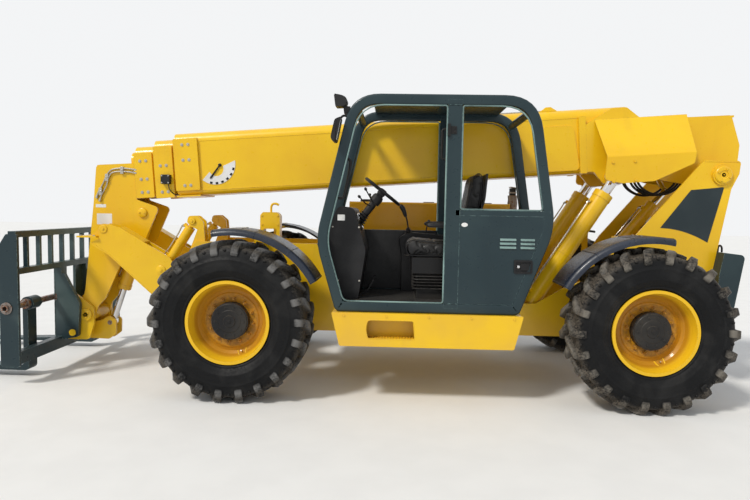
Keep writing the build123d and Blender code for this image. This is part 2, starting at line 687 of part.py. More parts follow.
def tyre(x, y):
    """Tyre with its two rows of lugs, one row half a pitch behind the other."""
    (left, faces), (right, right_faces) = tyre_half(1), tyre_half(-1)
    faces += right_faces
    faces += zip_rings([line[-1] for line in left["groove"]], [line[-1] for line in right["groove"]])
    count = 2 * LUG_PAIRS
    for i in range(count):
        j = (i + 1) % count
        faces.append(flat_face(left["bead"][i], left["bead"][j], right["bead"][i], right["bead"][i - 1]))
    return Pos(x, y, AXLE_Z) * Solid(Shell(faces))


def rim(x, y):
    """Rim barrel with flanges, stepped disc and the hub that runs on the spindle."""
    outward = 1 if y > 0 else -1
    flange = RIM_FLANGE_HALF
    wall = BEAD_RADIUS - RIM_WALL
    profile = [
        (SPINDLE_RADIUS + RUN_FIT, HUB_IN), (HUB_RADIUS, HUB_IN), (HUB_RADIUS, DISC_OFFSET - 40),
        (205, DISC_OFFSET - DISC_THICK), (265, DISC_OFFSET - DISC_THICK - 18),
        (wall, DISC_OFFSET - DISC_THICK - 18), (wall, -flange), (RIM_FLANGE_RADIUS, -flange),
        (RIM_FLANGE_RADIUS, -flange + RIM_FLANGE_THICK), (BEAD_RADIUS, -flange + RIM_FLANGE_THICK),
        (BEAD_RADIUS, flange - RIM_FLANGE_THICK), (RIM_FLANGE_RADIUS, flange - RIM_FLANGE_THICK),
        (RIM_FLANGE_RADIUS, flange), (wall + 14, flange), (wall, flange - 70),
        (285, DISC_OFFSET + 22), (262, DISC_OFFSET), (215, DISC_OFFSET + 12), (HUB_RADIUS, DISC_OFFSET),
        (HUB_RADIUS, HUB_OUT), (0, HUB_OUT), (0, SPINDLE_END + SIDE_GAP),
        (SPINDLE_RADIUS + RUN_FIT, SPINDLE_END + SIDE_GAP),
    ]
    return turned(profile, (x, y, AXLE_Z), (0, outward, 0))


# Boom

def boom_tube(half, low, high):
    """Outline of a boom section across its length: (Y, up, radius)."""
    return [(-half, low, BOOM_CORNER), (half, low, BOOM_CORNER), (half, high, BOOM_CORNER * 2),
            (-half, high, BOOM_CORNER * 2)]


def wear_pads(inner_size, outer_size, start):
    """Four pads that fill the space round a section inside the next, with bare clearance."""
    (half, low, high), (o_half, o_low, o_high) = inner_size, outer_size
    reach = (start, start + PAD_LENGTH)
    flat = (-half + PAD_INSET, half - PAD_INSET)
    upright = (low + PAD_INSET, high - PAD_INSET)
    pads = block(reach, flat, (o_low, low)) + block(reach, flat, (high, o_high))
    for side in (-1, 1):
        pads += block(reach, tuple(sorted((side * half, side * o_half))), upright)
    return pads


def boom_section(name):
    """Hollow boom section with its nose collar and wear pads, in the boom's own frame."""
    (half, low, high, tail, nose, c_half, c_low, c_high, c_from, c_to) = SECTIONS[name]
    outer = along_x(boom_tube(half, low, high), tail, nose)
    inner = [(y * (half - BOOM_WALL) / half, z + (BOOM_WALL if z == low else -BOOM_WALL),
              r - BOOM_WALL) for y, z, r in boom_tube(half, low, high)]
    section = outer - along_x(inner, tail - 1, nose + 1)
    if c_half:
        for side in (-1, 1):
            near, far = sorted((side * (half - BOOM_WALL / 2), side * c_half))
            section += along_y([(c_from, c_low, 12), (c_to, c_low, 12), (c_to, c_high, 12),
                                (c_from, c_high, 12)], near, far)
        section += block((c_from, c_to), (-c_half, c_half), (low - BOOM_WALL * 1.2, low + 4))
    order = list(SECTIONS)
    place = order.index(name)
    if place + 1 < len(order):
        follower = SECTIONS[order[place + 1]]
        section += wear_pads(
            (follower[0] + SEAT_GAP, follower[1] - SEAT_GAP, follower[2] + SEAT_GAP),
            (half - BOOM_WALL / 2, low + BOOM_WALL / 2, high - BOOM_WALL / 2), nose - PAD_LENGTH)
    if place:
        carrier = SECTIONS[order[place - 1]]
        wall = BOOM_WALL + SEAT_GAP
        section += wear_pads(
            (half - BOOM_WALL / 2, low + BOOM_WALL / 2, high - BOOM_WALL / 2),
            (carrier[0] - wall, carrier[1] + wall, carrier[2] - wall), tail)
    return section


def boom_outer():
    """Outer boom with its nose collar, tail plates, pivot boss and lug for the slave."""
    boom = boom_section("boom_outer")
    tail = [(-95, -20, 60), (60, -95, 60), (420, -20, 80), (760, 90, 40), (840, -20, 50),
            (LIFT_ALONG + 70, LIFT_UP - 70, 50), (1090, 108, 30), (1150, 108, 10),
            (1150, 560, 30), (900, 700, 40), (760, 700, 30), (620, 578, 30), (-215, 566, 30),
            (-285, 280, 30), (-262, 110, 30)]
    plates = both_sides(along_y(tail, TAIL_PLATE_IN - 14, TAIL_PLATE_IN + TAIL_PLATE_THICK))
    boom += plates
    boom += block((-250, 760), (-TAIL_PLATE_IN, TAIL_PLATE_IN), (548, 566))
    boom += cross_bar((0, 0), PIVOT_BOSS, -PLATE_IN + SIDE_GAP, PLATE_IN - SIDE_GAP)
    boom -= cross_bar((0, 0), PIVOT_RADIUS + RUN_FIT, -PLATE_IN, PLATE_IN)
    for side in (-1, 1):
        mid = side * (SLAVE_EYE_WIDTH / 2 + SIDE_GAP + 12)
        lug = [(150, 30, 10), (430, 110, 10), (SLAVE_ALONG + 70, SLAVE_UP - 20, 45),
               (SLAVE_ALONG, SLAVE_UP - 60, 40), (SLAVE_ALONG - 90, SLAVE_UP - 10, 45)]
        boom += along_y(lug, mid - 12, mid + 12)
    boom += both_sides(cross_bar((LIFT_ALONG, LIFT_UP), LIFT_EYE_RADIUS - 8,
                                 TAIL_PLATE_IN, LIFT_Y - LIFT_EYE_WIDTH / 2 - SIDE_GAP))
    boom += block((150, 760), (-TAIL_PLATE_IN, TAIL_PLATE_IN), (80, 112))
    doubler = [(1210, 130, 40), (1530, 130, 40), (1560, 560, 40), (1260, 560, 60)]
    boom += both_sides(along_y(doubler, 198, 212))
    flange = [(1150, 96, 10), (1215, 96, 10), (1215, 640, 10), (1150, 640, 10)]
    boom += both_sides(along_y(flange, 198, 236))
    return BOOM_PLACE * boom


def boom_shrouds():
    """Guards over the lift cylinders' upper ends: sloping roof, upright side, open below."""
    roof_top, roof_break = 600.0, 225.0
    gap = TAIL_PLATE_IN + TAIL_PLATE_THICK + SEAT_GAP
    section = [(gap, -160, 0), (SHROUD_OUT, -160, 0), (SHROUD_OUT, roof_break, 25),
               (gap, roof_top, 0)]
    inside = [(gap - 10, -170, 0), (SHROUD_OUT - SHROUD_WALL, -170, 0),
              (SHROUD_OUT - SHROUD_WALL, roof_break - 6, 15), (gap + 12, roof_top - 24, 0),
              (gap - 10, roof_top - 24, 0)]
    shell = along_x(section, 0, 1300) - along_x(inside, -10, 1310)
    side = [(1070, 612, 10), (1030, 234, 10), (1062, 15, 40), (900, -25, 60), (606, -20, 60),
            (240, 124, 30), (221, 214, 10), (201, 612, 10)]
    shroud = shell & along_y(side, gap, SHROUD_OUT)
    shroud += cross_bar((LIFT_ALONG, LIFT_UP), LIFT_EYE_RADIUS - 18,
                        LIFT_Y + LIFT_EYE_WIDTH / 2 + SIDE_GAP, SHROUD_OUT - SHROUD_WALL / 2)
    return BOOM_PLACE * both_sides(shroud)


def boom_head():
    """Fly section with the drooping head that carries the coupler and its cylinder."""
    fly = BOOM_PLACE * boom_section("boom_fly")
    outline = [(3019, 2052, 10), (3400, 2030, 40), (3432, 1650, 0), (3530, 775, 0),
               (3585, 560, 50), (3540, 440, 55), (3450, 440, 55), (3400, 600, 40),
               (3319, 690, 40), (3150, 1060, 60), (2923, 1257, 60), (2850, 1420, 30),
               (2766, 1614, 40), (2990, 1690, 15)]
    inside = HEAD_OUT - HEAD_PLATE
    plates = both_sides(along_y(outline, inside, HEAD_OUT))
    front = [(3385, 2031, 0), (3400, 2030, 0), (3432, 1650, 0), (3530, 775, 0), (3510, 775, 0),
             (3412, 1650, 0)]
    web = along_y(front, -inside, inside)
    top = along_y([(3022, 2050, 0), (3390, 2031, 0), (3390, 2011, 0), (3022, 2030, 0)], -inside, inside)
    bulkhead = block((3020, 3040), (-inside, inside), (1700, 2040))
    head = plates + web + top + bulkhead
    bores = cross_bar(TILT_PIVOT, TILT_PIN_RADIUS + RUN_FIT, -HEAD_OUT - 1, HEAD_OUT + 1)
    head += cross_bar(TILT_TOP, TILT_EYE_PIN, -HEAD_OUT - 12, HEAD_OUT + 12)
    head += cross_bar(TILT_PIVOT, TILT_PIN_RADIUS + 35, -HEAD_OUT, HEAD_OUT)
    head -= bores
    return fly + head


def tilt_barrel():
    """Barrel of the fork-tilt cylinder."""
    return cylinder_barrel(TILT_TOP, TILT_EYE, 0, TILT_EYE_RADIUS, TILT_EYE_PIN, TILT_EYE_WIDTH,
                           TILT_BARREL_RADIUS, TILT_ROD_RADIUS, TILT_BARREL_LENGTH, TILT_BORE)


def tilt_rod():
    """Rod of the fork-tilt cylinder."""
    return cylinder_rod(TILT_TOP, TILT_EYE, 0, TILT_EYE_RADIUS, TILT_EYE_WIDTH,
                        TILT_ROD_RADIUS, TILT_ROD_START)


# Fork carriage

def coupler():
    """Quick coupler: two side plates, the head's pin and the lug for the tilt rod."""
    front = CARRIAGE_X + CARRIAGE_DEPTH - TOWER_PLATE_THICK - 2 * SIDE_GAP
    outline = [(3640, 745, 20), (front, 640, 40), (front, 335, 20), (CARRIAGE_X - 5, 325, 5),
               (CARRIAGE_X - 5, 262, 30), (3480, 262, 40), (3425, 430, 40), (3425, 590, 50),
               (3500, 650, 20)]
    plate = along_y(outline, COUPLER_IN, COUPLER_IN + COUPLER_PLATE)
    shape = both_sides(plate)
    shape += cross_bar(TILT_PIVOT, TILT_PIN_RADIUS, -COUPLER_IN - 30, COUPLER_IN + 30)
    shape += both_sides(cross_bar(TILT_PIVOT, 62, COUPLER_IN, COUPLER_IN + COUPLER_PLATE + 14))
    shape += cross_bar((3560, 330), 45, -COUPLER_IN, COUPLER_IN)
    shape += cross_bar(LOCK_PIN, LOCK_PIN_RADIUS, -LOCK_PIN_REACH, LOCK_PIN_REACH)
    for side in (-1, 1):
        mid = side * (TILT_EYE_WIDTH / 2 + SIDE_GAP + 12)
        lug = [(3600, 400, 20), (3600, 252, 10), (3335, 245, 30), (3262, 300, 30),
               (3258, 440, 40), (3330, 490, 40), (3410, 440, 30)]
        shape += along_y(lug, mid - 12, mid + 12)
    back = [(3645, 600, 0), (3672, 330, 0), (3610, 250, 0), (3590, 262, 0), (3648, 335, 0),
            (3622, 597, 0)]
    return shape + along_y(back, -COUPLER_IN, COUPLER_IN)


def carriage():
    """Fork carriage: end plates, bars, slats, uprights, fork shaft and backrest."""
    front = CARRIAGE_X + CARRIAGE_DEPTH
    across = (-CARRIAGE_HALF, CARRIAGE_HALF)
    bars = block((CARRIAGE_X, front), across, (CARRIAGE_LOW, CARRIAGE_LOW_TOP))
    for z in (CARRIAGE_TOP - CARRIAGE_BAR, CARRIAGE_MID):
        bars += block((CARRIAGE_X, front), across, (z, z + CARRIAGE_BAR))
    plate = [(CARRIAGE_X - 10, END_PLATE_LOW, 20), (END_PLATE_FRONT, END_PLATE_LOW, 30),
             (END_PLATE_FRONT, 1250, 30), (front + 20, 1360, 20), (CARRIAGE_X - 10, 1360, 20)]
    ends = both_sides(along_y(plate, CARRIAGE_HALF - END_PLATE_THICK, CARRIAGE_HALF))
    shape = bars + ends
    slats = 9
    for i in range(slats):
        y = (i - (slats - 1) / 2) * (2 * CARRIAGE_HALF / (slats + 1))
        shape += block((CARRIAGE_X + 10, front - 20), (y - 14, y + 14),
                       (CARRIAGE_MID, CARRIAGE_TOP))
    upright = block((CARRIAGE_X, front), (UPRIGHT_IN, UPRIGHT_OUT), (CARRIAGE_LOW, CARRIAGE_MID + 20))
    gusset = [(CARRIAGE_X + 5, 1000, 20), (CARRIAGE_X + 5, 270, 20), (3560, 300, 30),
              (3540, 640, 60)]
    upright += along_y(gusset, UPRIGHT_IN, UPRIGHT_OUT)
    upright -= cross_bar(LOCK_PIN, LOCK_PIN_RADIUS + RUN_FIT, UPRIGHT_IN - 1, UPRIGHT_OUT + 1)
    upright += block((front - TOWER_PLATE_THICK, front), (TOWER_PLATE_IN, UPRIGHT_IN + 5),
                     (CARRIAGE_LOW, CARRIAGE_MID + 20))
    upright += block((front - 10, SHAFT_X), (UPRIGHT_IN + 5, UPRIGHT_OUT - 5),
                     (SHAFT_Z - 28, SHAFT_Z + 28))
    shape += both_sides(upright)
    reach = CARRIAGE_HALF + SHAFT_PROUD
    shape += cross_bar((SHAFT_X, SHAFT_Z), SHAFT_RADIUS, -reach, reach)
    shape -= cross_bar((SHAFT_X, SHAFT_Z), SHAFT_RADIUS - 10, CARRIAGE_HALF - 60, reach + 1)
    shape -= cross_bar((SHAFT_X, SHAFT_Z), SHAFT_RADIUS - 10, -reach - 1, -CARRIAGE_HALF + 60)
    for side in (-1, 1):
        for edge in (-1, 1):
            collar = sorted(side * FORK_Y + edge * (FORK_WIDTH / 2 + SEAT_GAP + d) for d in (0, 40))
            shape += cross_bar((SHAFT_X, SHAFT_Z), COLLAR_RADIUS, *collar)
    return shape


def fork(y):
    """Pallet fork: eye on the shaft, shank and a tapering blade."""
    heel = SHAFT_X + 20
    outline = [(heel - 25, SHAFT_Z + 10, 20), (heel - 25, FORK_LOW, 40),
               (FRONT_REACH, FORK_LOW + 6, 3), (FRONT_REACH, FORK_LOW + 16, 3),
               (heel + FORK_THICK + 250, FORK_LOW + FORK_THICK, 20),
               (heel + FORK_THICK - 25, FORK_LOW + FORK_THICK, 25),
               (heel + FORK_THICK - 25, SHAFT_Z + 10, 20)]
    shape = along_y(outline, y - FORK_WIDTH / 2, y + FORK_WIDTH / 2)
    shape += cross_bar((SHAFT_X, SHAFT_Z), FORK_EYE_RADIUS, y - FORK_WIDTH / 2, y + FORK_WIDTH / 2)
    return shape - cross_bar((SHAFT_X, SHAFT_Z), SHAFT_RADIUS + RUN_FIT, y - FORK_WIDTH,
                             y + FORK_WIDTH)


# Stabilisers

def stabiliser_arm():
    """Left-hand stabiliser arm: two plates, a closing web below and the pivot tube."""
    outline = [(2380, 860, 50), (2400, 715, 60), (2560, 700, 40), (2730, 784, 60),
               (3143, 1150, 60), (3335, 1258, 20), (3236, 1303, 10), (3236, 1400, 35),
               (3205, 1452, 35), (3130, 1445, 30), (3039, 1418, 20), (2543, 1136, 40)]
    low, high = STAB_Y - STAB_HALF, STAB_Y + STAB_HALF
    arm = along_y(outline, low, low + STAB_PLATE) + along_y(outline, high - STAB_PLATE, high)
    web = [(2500, 705, 0), (2560, 700, 0), (2730, 784, 0), (3143, 1150, 0), (3100, 1180, 0),
           (2715, 815, 0), (2560, 735, 0)]
    arm += along_y(web, low, high)
    top = [(3039, 1422, 0), (2800, 1284, 0), (2812, 1262, 0), (3048, 1398, 0)]
    arm += along_y(top, low, high)
    arm += cross_bar(STAB_PIVOT, STAB_PIVOT_RADIUS + 28, low, high)
    return arm - cross_bar(STAB_PIVOT, STAB_PIVOT_RADIUS + RUN_FIT, low - 1, high + 1) \
        + cross_bar(STAB_PAD_PIN, STAB_PIN_RADIUS, low, high)


def stabiliser_pad():
    """Left-hand stabiliser foot, hanging level from its pin."""
    half = STAB_HALF - STAB_PLATE - SIDE_GAP
    x, z = STAB_PAD_PIN
    sole = block((x + 55, x + 245), (STAB_Y - STAB_PAD_HALF, STAB_Y + STAB_PAD_HALF), (z - 84, z - 68))
    sole += block((x - 90, x + 60), (STAB_Y - half, STAB_Y + half), (z - 84, z - 68))
    boss = cross_bar(STAB_PAD_PIN, 44, STAB_Y - half, STAB_Y + half)
    boss += along_y([(x - 70, z - 76, 0), (x + 150, z - 76, 0), (x + 40, z + 15, 0), (x - 42, z, 0)],
                    STAB_Y - half, STAB_Y + half)
    return sole + boss - cross_bar(STAB_PAD_PIN, STAB_PIN_RADIUS + RUN_FIT, STAB_Y - half - 1,
                                   STAB_Y + half + 1)


def stabiliser_barrel():
    """Left-hand stabiliser cylinder's barrel."""
    return cylinder_barrel(STAB_BASE, STAB_EYE, STAB_Y, STAB_EYE_RADIUS, STAB_PIN_RADIUS,
                           STAB_EYE_WIDTH, STAB_BARREL_RADIUS, STAB_ROD_RADIUS,
                           STAB_BARREL_LENGTH, STAB_BORE)


def stabiliser_rod():
    """Left-hand stabiliser cylinder's rod."""
    return cylinder_rod(STAB_BASE, STAB_EYE, STAB_Y, STAB_EYE_RADIUS, STAB_EYE_WIDTH,
                        STAB_ROD_RADIUS, STAB_ROD_START)


# Cab

def cab_frame():
    """Tube frame of the cab: a bent ring on each side joined by cross tubes."""
    ring = rounded_ring(CAB_OUTLINE, CAB_TUBE)
    pillar = [(PILLAR_REAR, 800, 0), (PILLAR_FRONT, 800, 0), (PILLAR_FRONT, 2540, 0),
              (PILLAR_REAR, 2540, 0)]
    waist = [(PILLAR_REAR, WAIST_Z - 22, 0), (PILLAR_REAR, WAIST_Z + 22, 0),
             (-880, WAIST_Z + 22, 0), (-880, WAIST_Z - 22, 0)]
    sides = None
    for low in (CAB_IN, CAB_OUT - CAB_FRAME_THICK):
        high = low + CAB_FRAME_THICK
        side = ring(low, high)
        side += along_y(pillar, low, high) & along_y(CAB_OUTLINE, low, high)
        side += along_y(waist, low, high) & along_y(CAB_OUTLINE, low, high)
        sides = side if sides is None else sides + side
    for x, z, _ in inset(CAB_OUTLINE, CAB_TUBE / 2):
        sides += cross_bar((x, z), 36, CAB_IN + 20, CAB_OUT - 20)
    return sides


def rounded_ring(outline, width):
    """A function that makes the band between an outline and its inset, across Y."""
    def between(low, high):
        return along_y(outline, low, high) - along_y(inset(outline, width), low - 1, high + 1)
    return between


def cab_panels():
    """Closed panels between the cab's tubes, one plate each."""
    gap = SEAT_GAP
    hole = inset(CAB_OUTLINE, CAB_TUBE + gap)
    face = CAB_OUT - QUARTER_INSET
    quarter = along_y(hole, face - CAB_PANEL, face) & block(
        (-2000, PILLAR_REAR - gap), (0, CAB_OUT), (0, WAIST_Z - 22 - gap))
    quarter = louvred(quarter, face)
    inner = along_y(hole, CAB_IN + 15, CAB_IN + 45) & block(
        (-2000, 2000), (0, CAB_OUT), (0, 1440))
    inner -= along_y([(PILLAR_REAR - gap, 0, 0), (PILLAR_FRONT + gap, 0, 0),
                      (PILLAR_FRONT + gap, 3000, 0), (PILLAR_REAR - gap, 3000, 0)], 0, CAB_OUT)
    low, high = CAB_IN + CAB_FRAME_THICK + gap, CAB_OUT - CAB_FRAME_THICK - gap
    skin = along_y(CAB_OUTLINE, low, high) - along_y(inset(CAB_OUTLINE, CAB_PANEL), low - 1, high + 1)
    for x, z, _ in inset(CAB_OUTLINE, CAB_TUBE / 2):
        skin -= cross_bar((x, z), 36 + gap, 0, CAB_OUT)
    roof = skin & block((-560, 600), (0, CAB_OUT), (2450, 2700))
    rear = skin & block((-2000, -700), (0, CAB_OUT), (820, 1480))
    front = skin & block((890, 2000), (0, CAB_OUT), (820, 1340))
    return quarter + inner + roof + rear + front


def louvred(panel, face):
    """The panel with its vents: slots through it, each under a blade that leans outwards."""
    for rear, front, low in LOUVRES:
        for i in range(LOUVRES_UP):
            z = low + i * LOUVRE_PITCH
            panel -= block((rear + 6, front - 6), (face - CAB_PANEL - 1, face + 1), (z, z + 10))
            blade = [(face - 4, z + LOUVRE_HEIGHT, 0), (face - 4, z + 10, 0),
                     (face + LOUVRE_PROUD, z + 2, 0), (face + LOUVRE_PROUD, z + 6, 0)]
            panel += along_x(blade, rear, front)
    return panel


def cab_floor():
    """Cab floor pan."""
    sides = (CAB_IN + CAB_FRAME_THICK + SEAT_GAP, CAB_OUT - CAB_FRAME_THICK - SEAT_GAP)
    return block((FLOOR_REAR, FLOOR_FRONT), sides, (FLOOR_TOP - 20, FLOOR_TOP))


def console():
    """Front console with its sloping dash and the steering column's foot."""
    outline = [(700, FLOOR_TOP + SEAT_GAP, 20), (640, 1280, 60), (745, 1640, 40), (880, 1660, 50),
               (975, 1450, 80), (880, 1000, 60), (850, FLOOR_TOP + SEAT_GAP, 20)]
    return along_y(outline, CAB_IN + 90, CAB_OUT - 190)


WHEEL_CENTRE = (510.0, 690.0, 1795.0)
WHEEL_AXIS = (-0.608, 0.0, 0.794)
WHEEL_HUB_DROP = 30.0         # column's top below the rim's plane


def steering_column():
    """Tilted column that carries the steering wheel."""
    axis = Vector(*WHEEL_AXIS).normalized()
    top = Vector(*WHEEL_CENTRE) - axis * WHEEL_HUB_DROP
    return bar(top - axis * 330, top, 34)


def steering_wheel():
    """Steering wheel: rim, three spokes and a hub."""
    rim_radius, grip = 185.0, 14.0
    wheel = Torus(rim_radius, grip) + Pos(0, 0, SEAT_GAP - WHEEL_HUB_DROP) * Cylinder(
        38, 40, align=(Align.CENTER, Align.CENTER, Align.MIN))
    for i in range(3):
        wheel += Rot(0, 0, i * 120 + 90) * (Pos(rim_radius / 2, 0, 0) * Box(rim_radius, 24, 12))
    return Plane(origin=WHEEL_CENTRE, z_dir=WHEEL_AXIS).location * wheel


def seat_base():
    """Seat pedestal with its suspension box."""
    lower = block((-180, 200), (520, 900), (FLOOR_TOP + SEAT_GAP, 1090))
    return lower + block((-220, 240), (490, 930), (1090, 1225))


def seat_pads():
    """Seat cushion and backrest, plain pads."""
    y = (455, 965)
    cushion = [(-200, 1225 + SEAT_GAP, 30), (300, 1225 + SEAT_GAP, 40), (330, 1330, 40),
               (300, 1400, 40), (-180, 1365, 20), (-215, 1300, 20)]
    back = [(-175, 1365.4 + SEAT_GAP, 5), (-85, 1371.9 + SEAT_GAP, 5), (-205, 1690, 60),
            (-260, 1985, 50), (-375, 1990, 50), (-350, 1700, 60), (-240, 1400, 30)]
    return along_y(cushion, *y) + along_y(back, *y)


# Pieces round the cab and the engine

def step_box():
    """Hollow step box under the cab with the step cut in its side."""
    top = CAB_LOW - SEAT_GAP
    outer = [(-676, top, 10), (906, top, 10), (836, STEP_LOW, 20),
             (-605, STEP_LOW, 20)]
    inner = inset(outer, STEP_WALL)
    box = along_y(outer, STEP_IN, STEP_OUT) - along_y(inner, STEP_IN - 1, STEP_OUT - STEP_WALL)
    opening = [(210, 566, 20), (600, 566, 20), (620, 650, 20), (600, 723, 20), (225, 723, 20)]
    return box - along_y(opening, STEP_OUT - 60, STEP_OUT + 1)


def fenders():
    """Four moulded fenders, each an arc over the tyre with a turned-down outer lip."""
    shapes = None
    for x, facing in ((FRONT_AXLE_X, 1), (REAR_AXLE_X, -1)):
        crown = FENDER_RADIUS + FENDER_THICK
        guard = fender_arc(x, facing, FENDER_RADIUS, crown, FENDER_IN, FENDER_OUT)
        guard += fender_arc(x, facing, FENDER_RADIUS - FENDER_LIP, crown,
                            FENDER_OUT - FENDER_LIP_THICK, FENDER_OUT)
        shapes = guard if shapes is None else shapes + guard
    return both_sides(shapes)


def fender_arc(x, facing, inner, outer, low, high):
    """Sector of a ring about an axle, from FENDER_START to FENDER_END behind the front."""
    centre = (x, AXLE_Z - FENDER_DROP)
    angles = (FENDER_START, FENDER_END)
    if facing < 0:
        angles = (180 - FENDER_END, 180 - FENDER_START)
    middle = sum(angles) / 2
    edges = [
        ThreePointArc(*[Vector(*polar(centre, outer, a)) for a in (angles[0], middle, angles[1])]),
        Line(Vector(*polar(centre, outer, angles[1])), Vector(*polar(centre, inner, angles[1]))),
        ThreePointArc(*[Vector(*polar(centre, inner, a)) for a in (angles[1], middle, angles[0])]),
        Line(Vector(*polar(centre, inner, angles[0])), Vector(*polar(centre, outer, angles[0]))),
    ]
    solid = extrude(make_face(edges), amount=high - low)
    return Plane(origin=(0, high, 0), x_dir=(1, 0, 0), z_dir=(0, -1, 0)).location * solid


def engine_block():
    """The engine's mass as one plain block on its carrier."""
    return block((-560, 520), (-1060, -560), (HOOD_LOW + SEAT_GAP, 1400))


def engine_hood():
    """Engine cover on the far side of the cab, open below, with a sloping lid."""
    outline = [(-HOOD_IN, HOOD_LOW + SEAT_GAP, 0), (-HOOD_IN, HOOD_TOP, 25),
               (-HOOD_IN - 170, HOOD_TOP, 60), (-HOOD_OUT, HOOD_SHOULDER, 70),
               (-HOOD_OUT, HOOD_LOW + SEAT_GAP, 0)]
    t = HOOD_WALL
    inside = [(-HOOD_IN - t, HOOD_LOW - 10, 0), (-HOOD_IN - t, HOOD_TOP - t, 10),
              (-HOOD_IN - 165, HOOD_TOP - t, 45), (-HOOD_OUT + t, HOOD_SHOULDER - t + 6, 50),
              (-HOOD_OUT + t, HOOD_LOW - 10, 0)]
    shell = along_x(outline, HOOD_REAR, HOOD_FRONT)
    return shell - along_x(inside, HOOD_REAR + t, HOOD_FRONT - t)


def exhaust():
    """Upright exhaust pipe behind the engine cover."""
    x = HOOD_REAR - 70
    pipe = bar((x, -700, HOOD_LOW + 300), (x, -700, 1900), 38)
    return pipe + block((HOOD_REAR - 71, HOOD_REAR - SEAT_GAP), (-715, -685), (1200, 1240))


def mirrors():
    """Mirror and work lamp on short arms at the front corner of the roof."""
    lower, upper = Vector(*CAB_OUTLINE[1][:2]), Vector(*CAB_OUTLINE[2][:2])
    edge = (upper - lower).normalized()
    outward = Vector(edge.Y, -edge.X)
    foot = upper - edge * 130 + outward * SEAT_GAP
    corners = [foot, foot + edge * 60, foot + edge * 60 + outward * 14, foot + outward * 14]
    clamp = along_y([(c.X, c.Y, 0) for c in corners], CAB_OUT - 55, CAB_OUT - 5)
    root = foot + edge * 30 + outward * 12
    arm = bar((root.X, CAB_OUT - 30, root.Y), (885, CAB_OUT - 20, 2500), 9)
    arm += bar((root.X, CAB_OUT - 30, root.Y), (LAMP_PLACE[0] + 10, CAB_OUT - 20, LAMP_PLACE[1]), 9)
    head = along_y([(878, 2440, 10), (898, 2440, 6), (904, 2570, 6), (874, 2570, 12)],
                   CAB_OUT - 75, CAB_OUT + 45)
    x, z = LAMP_PLACE
    lamp = turned([(0, 0), (30, 0), (LAMP_RADIUS, 32), (LAMP_RADIUS, 48), (LAMP_RADIUS - 6, 48),
                   (LAMP_RADIUS - 6, 44), (0, 44)], (x, CAB_OUT - 20, z), (1, 0, 0))
    return clamp + arm + head + lamp


NODES = {
    "chassis_frame": chassis_frame,
    "counterweight": counterweight,
    "front_axle": lambda: axle(FRONT_AXLE_X),
    "rear_axle": lambda: axle(REAR_AXLE_X),
    "front_steer_rod": lambda: steer_rod(FRONT_AXLE_X),
    "rear_steer_rod": lambda: steer_rod(REAR_AXLE_X),
    "boom_outer": boom_outer,
    "boom_shrouds": boom_shrouds,
    "boom_second": lambda: BOOM_PLACE * boom_section("boom_second"),
    "boom_third": lambda: BOOM_PLACE * boom_section("boom_third"),
    "boom_head": boom_head,
    "tilt_barrel": tilt_barrel,
    "tilt_rod": tilt_rod,
    "coupler": coupler,
    "carriage": carriage,
    "fork_left": lambda: fork(FORK_Y),
    "fork_right": lambda: fork(-FORK_Y),
    "lift_barrels": lambda: both_sides(cylinder_barrel(
        LIFT_BASE, LIFT_PIN, LIFT_Y, LIFT_EYE_RADIUS, LIFT_PIN_RADIUS, LIFT_EYE_WIDTH,
        LIFT_BARREL_RADIUS, LIFT_ROD_RADIUS, LIFT_BARREL_LENGTH, LIFT_BORE)),
    "lift_rods": lambda: both_sides(cylinder_rod(
        LIFT_BASE, LIFT_PIN, LIFT_Y, LIFT_EYE_RADIUS, LIFT_EYE_WIDTH, LIFT_ROD_RADIUS,
        LIFT_ROD_START)),
    "slave_barrel": lambda: cylinder_barrel(
        SLAVE_BASE, SLAVE_PIN, 0, SLAVE_EYE_RADIUS, SLAVE_PIN_RADIUS, SLAVE_EYE_WIDTH,
        SLAVE_BARREL_RADIUS, SLAVE_ROD_RADIUS, SLAVE_BARREL_LENGTH, SLAVE_BORE),
    "slave_rod": lambda: cylinder_rod(
        SLAVE_BASE, SLAVE_PIN, 0, SLAVE_EYE_RADIUS, SLAVE_EYE_WIDTH, SLAVE_ROD_RADIUS,
        SLAVE_ROD_START),
    "cab_frame": cab_frame,
    "cab_panels": cab_panels,
    "cab_floor": cab_floor,
    "console": lambda: console() + steering_column(),
    "steering_wheel": steering_wheel,
    "seat_base": seat_base,
    "seat_pads": seat_pads,
    "step_box": step_box,
    "fenders": fenders,
    "engine_block": engine_block,
    "engine_hood": engine_hood,
    "exhaust": exhaust,
    "mirrors": mirrors,
}

STABILISER_PIECES = {
    "arm": stabiliser_arm,
    "pad": stabiliser_pad,
    "barrel": stabiliser_barrel,
    "rod": stabiliser_rod,
}
CORNERS = {
    "front_left": (FRONT_AXLE_X, 1),
    "front_right": (FRONT_AXLE_X, -1),
    "rear_left": (REAR_AXLE_X, 1),
    "rear_right": (REAR_AXLE_X, -1),
}


def main():
    """Build every node, then move all so that the origin is under the middle of the length."""
    os.makedirs("parts", exist_ok=True)
    shapes = {name: make() for name, make in NODES.items()}
    for piece, make in STABILISER_PIECES.items():
        left = make()
        shapes["stabiliser_" + piece + "_left"] = left
        shapes["stabiliser_" + piece + "_right"] = mirror(left, about=Plane.XZ)
    for corner, (x, side) in CORNERS.items():
        post = knuckle(x)
        shapes["knuckle_" + corner] = post if side > 0 else mirror(post, about=Plane.XZ)
        shapes["tyre_" + corner] = tyre(x, side * TYRE_Y)
        shapes["rim_" + corner] = rim(x, side * TYRE_Y)
    boxes = [shape.bounding_box() for shape in shapes.values()]
    middle = (min(box.min.X for box in boxes) + max(box.max.X for box in boxes)) / 2
    for name, shape in shapes.items():
        export_step(Pos(-middle, 0, 0) * shape, "parts/" + name + ".step")


main()
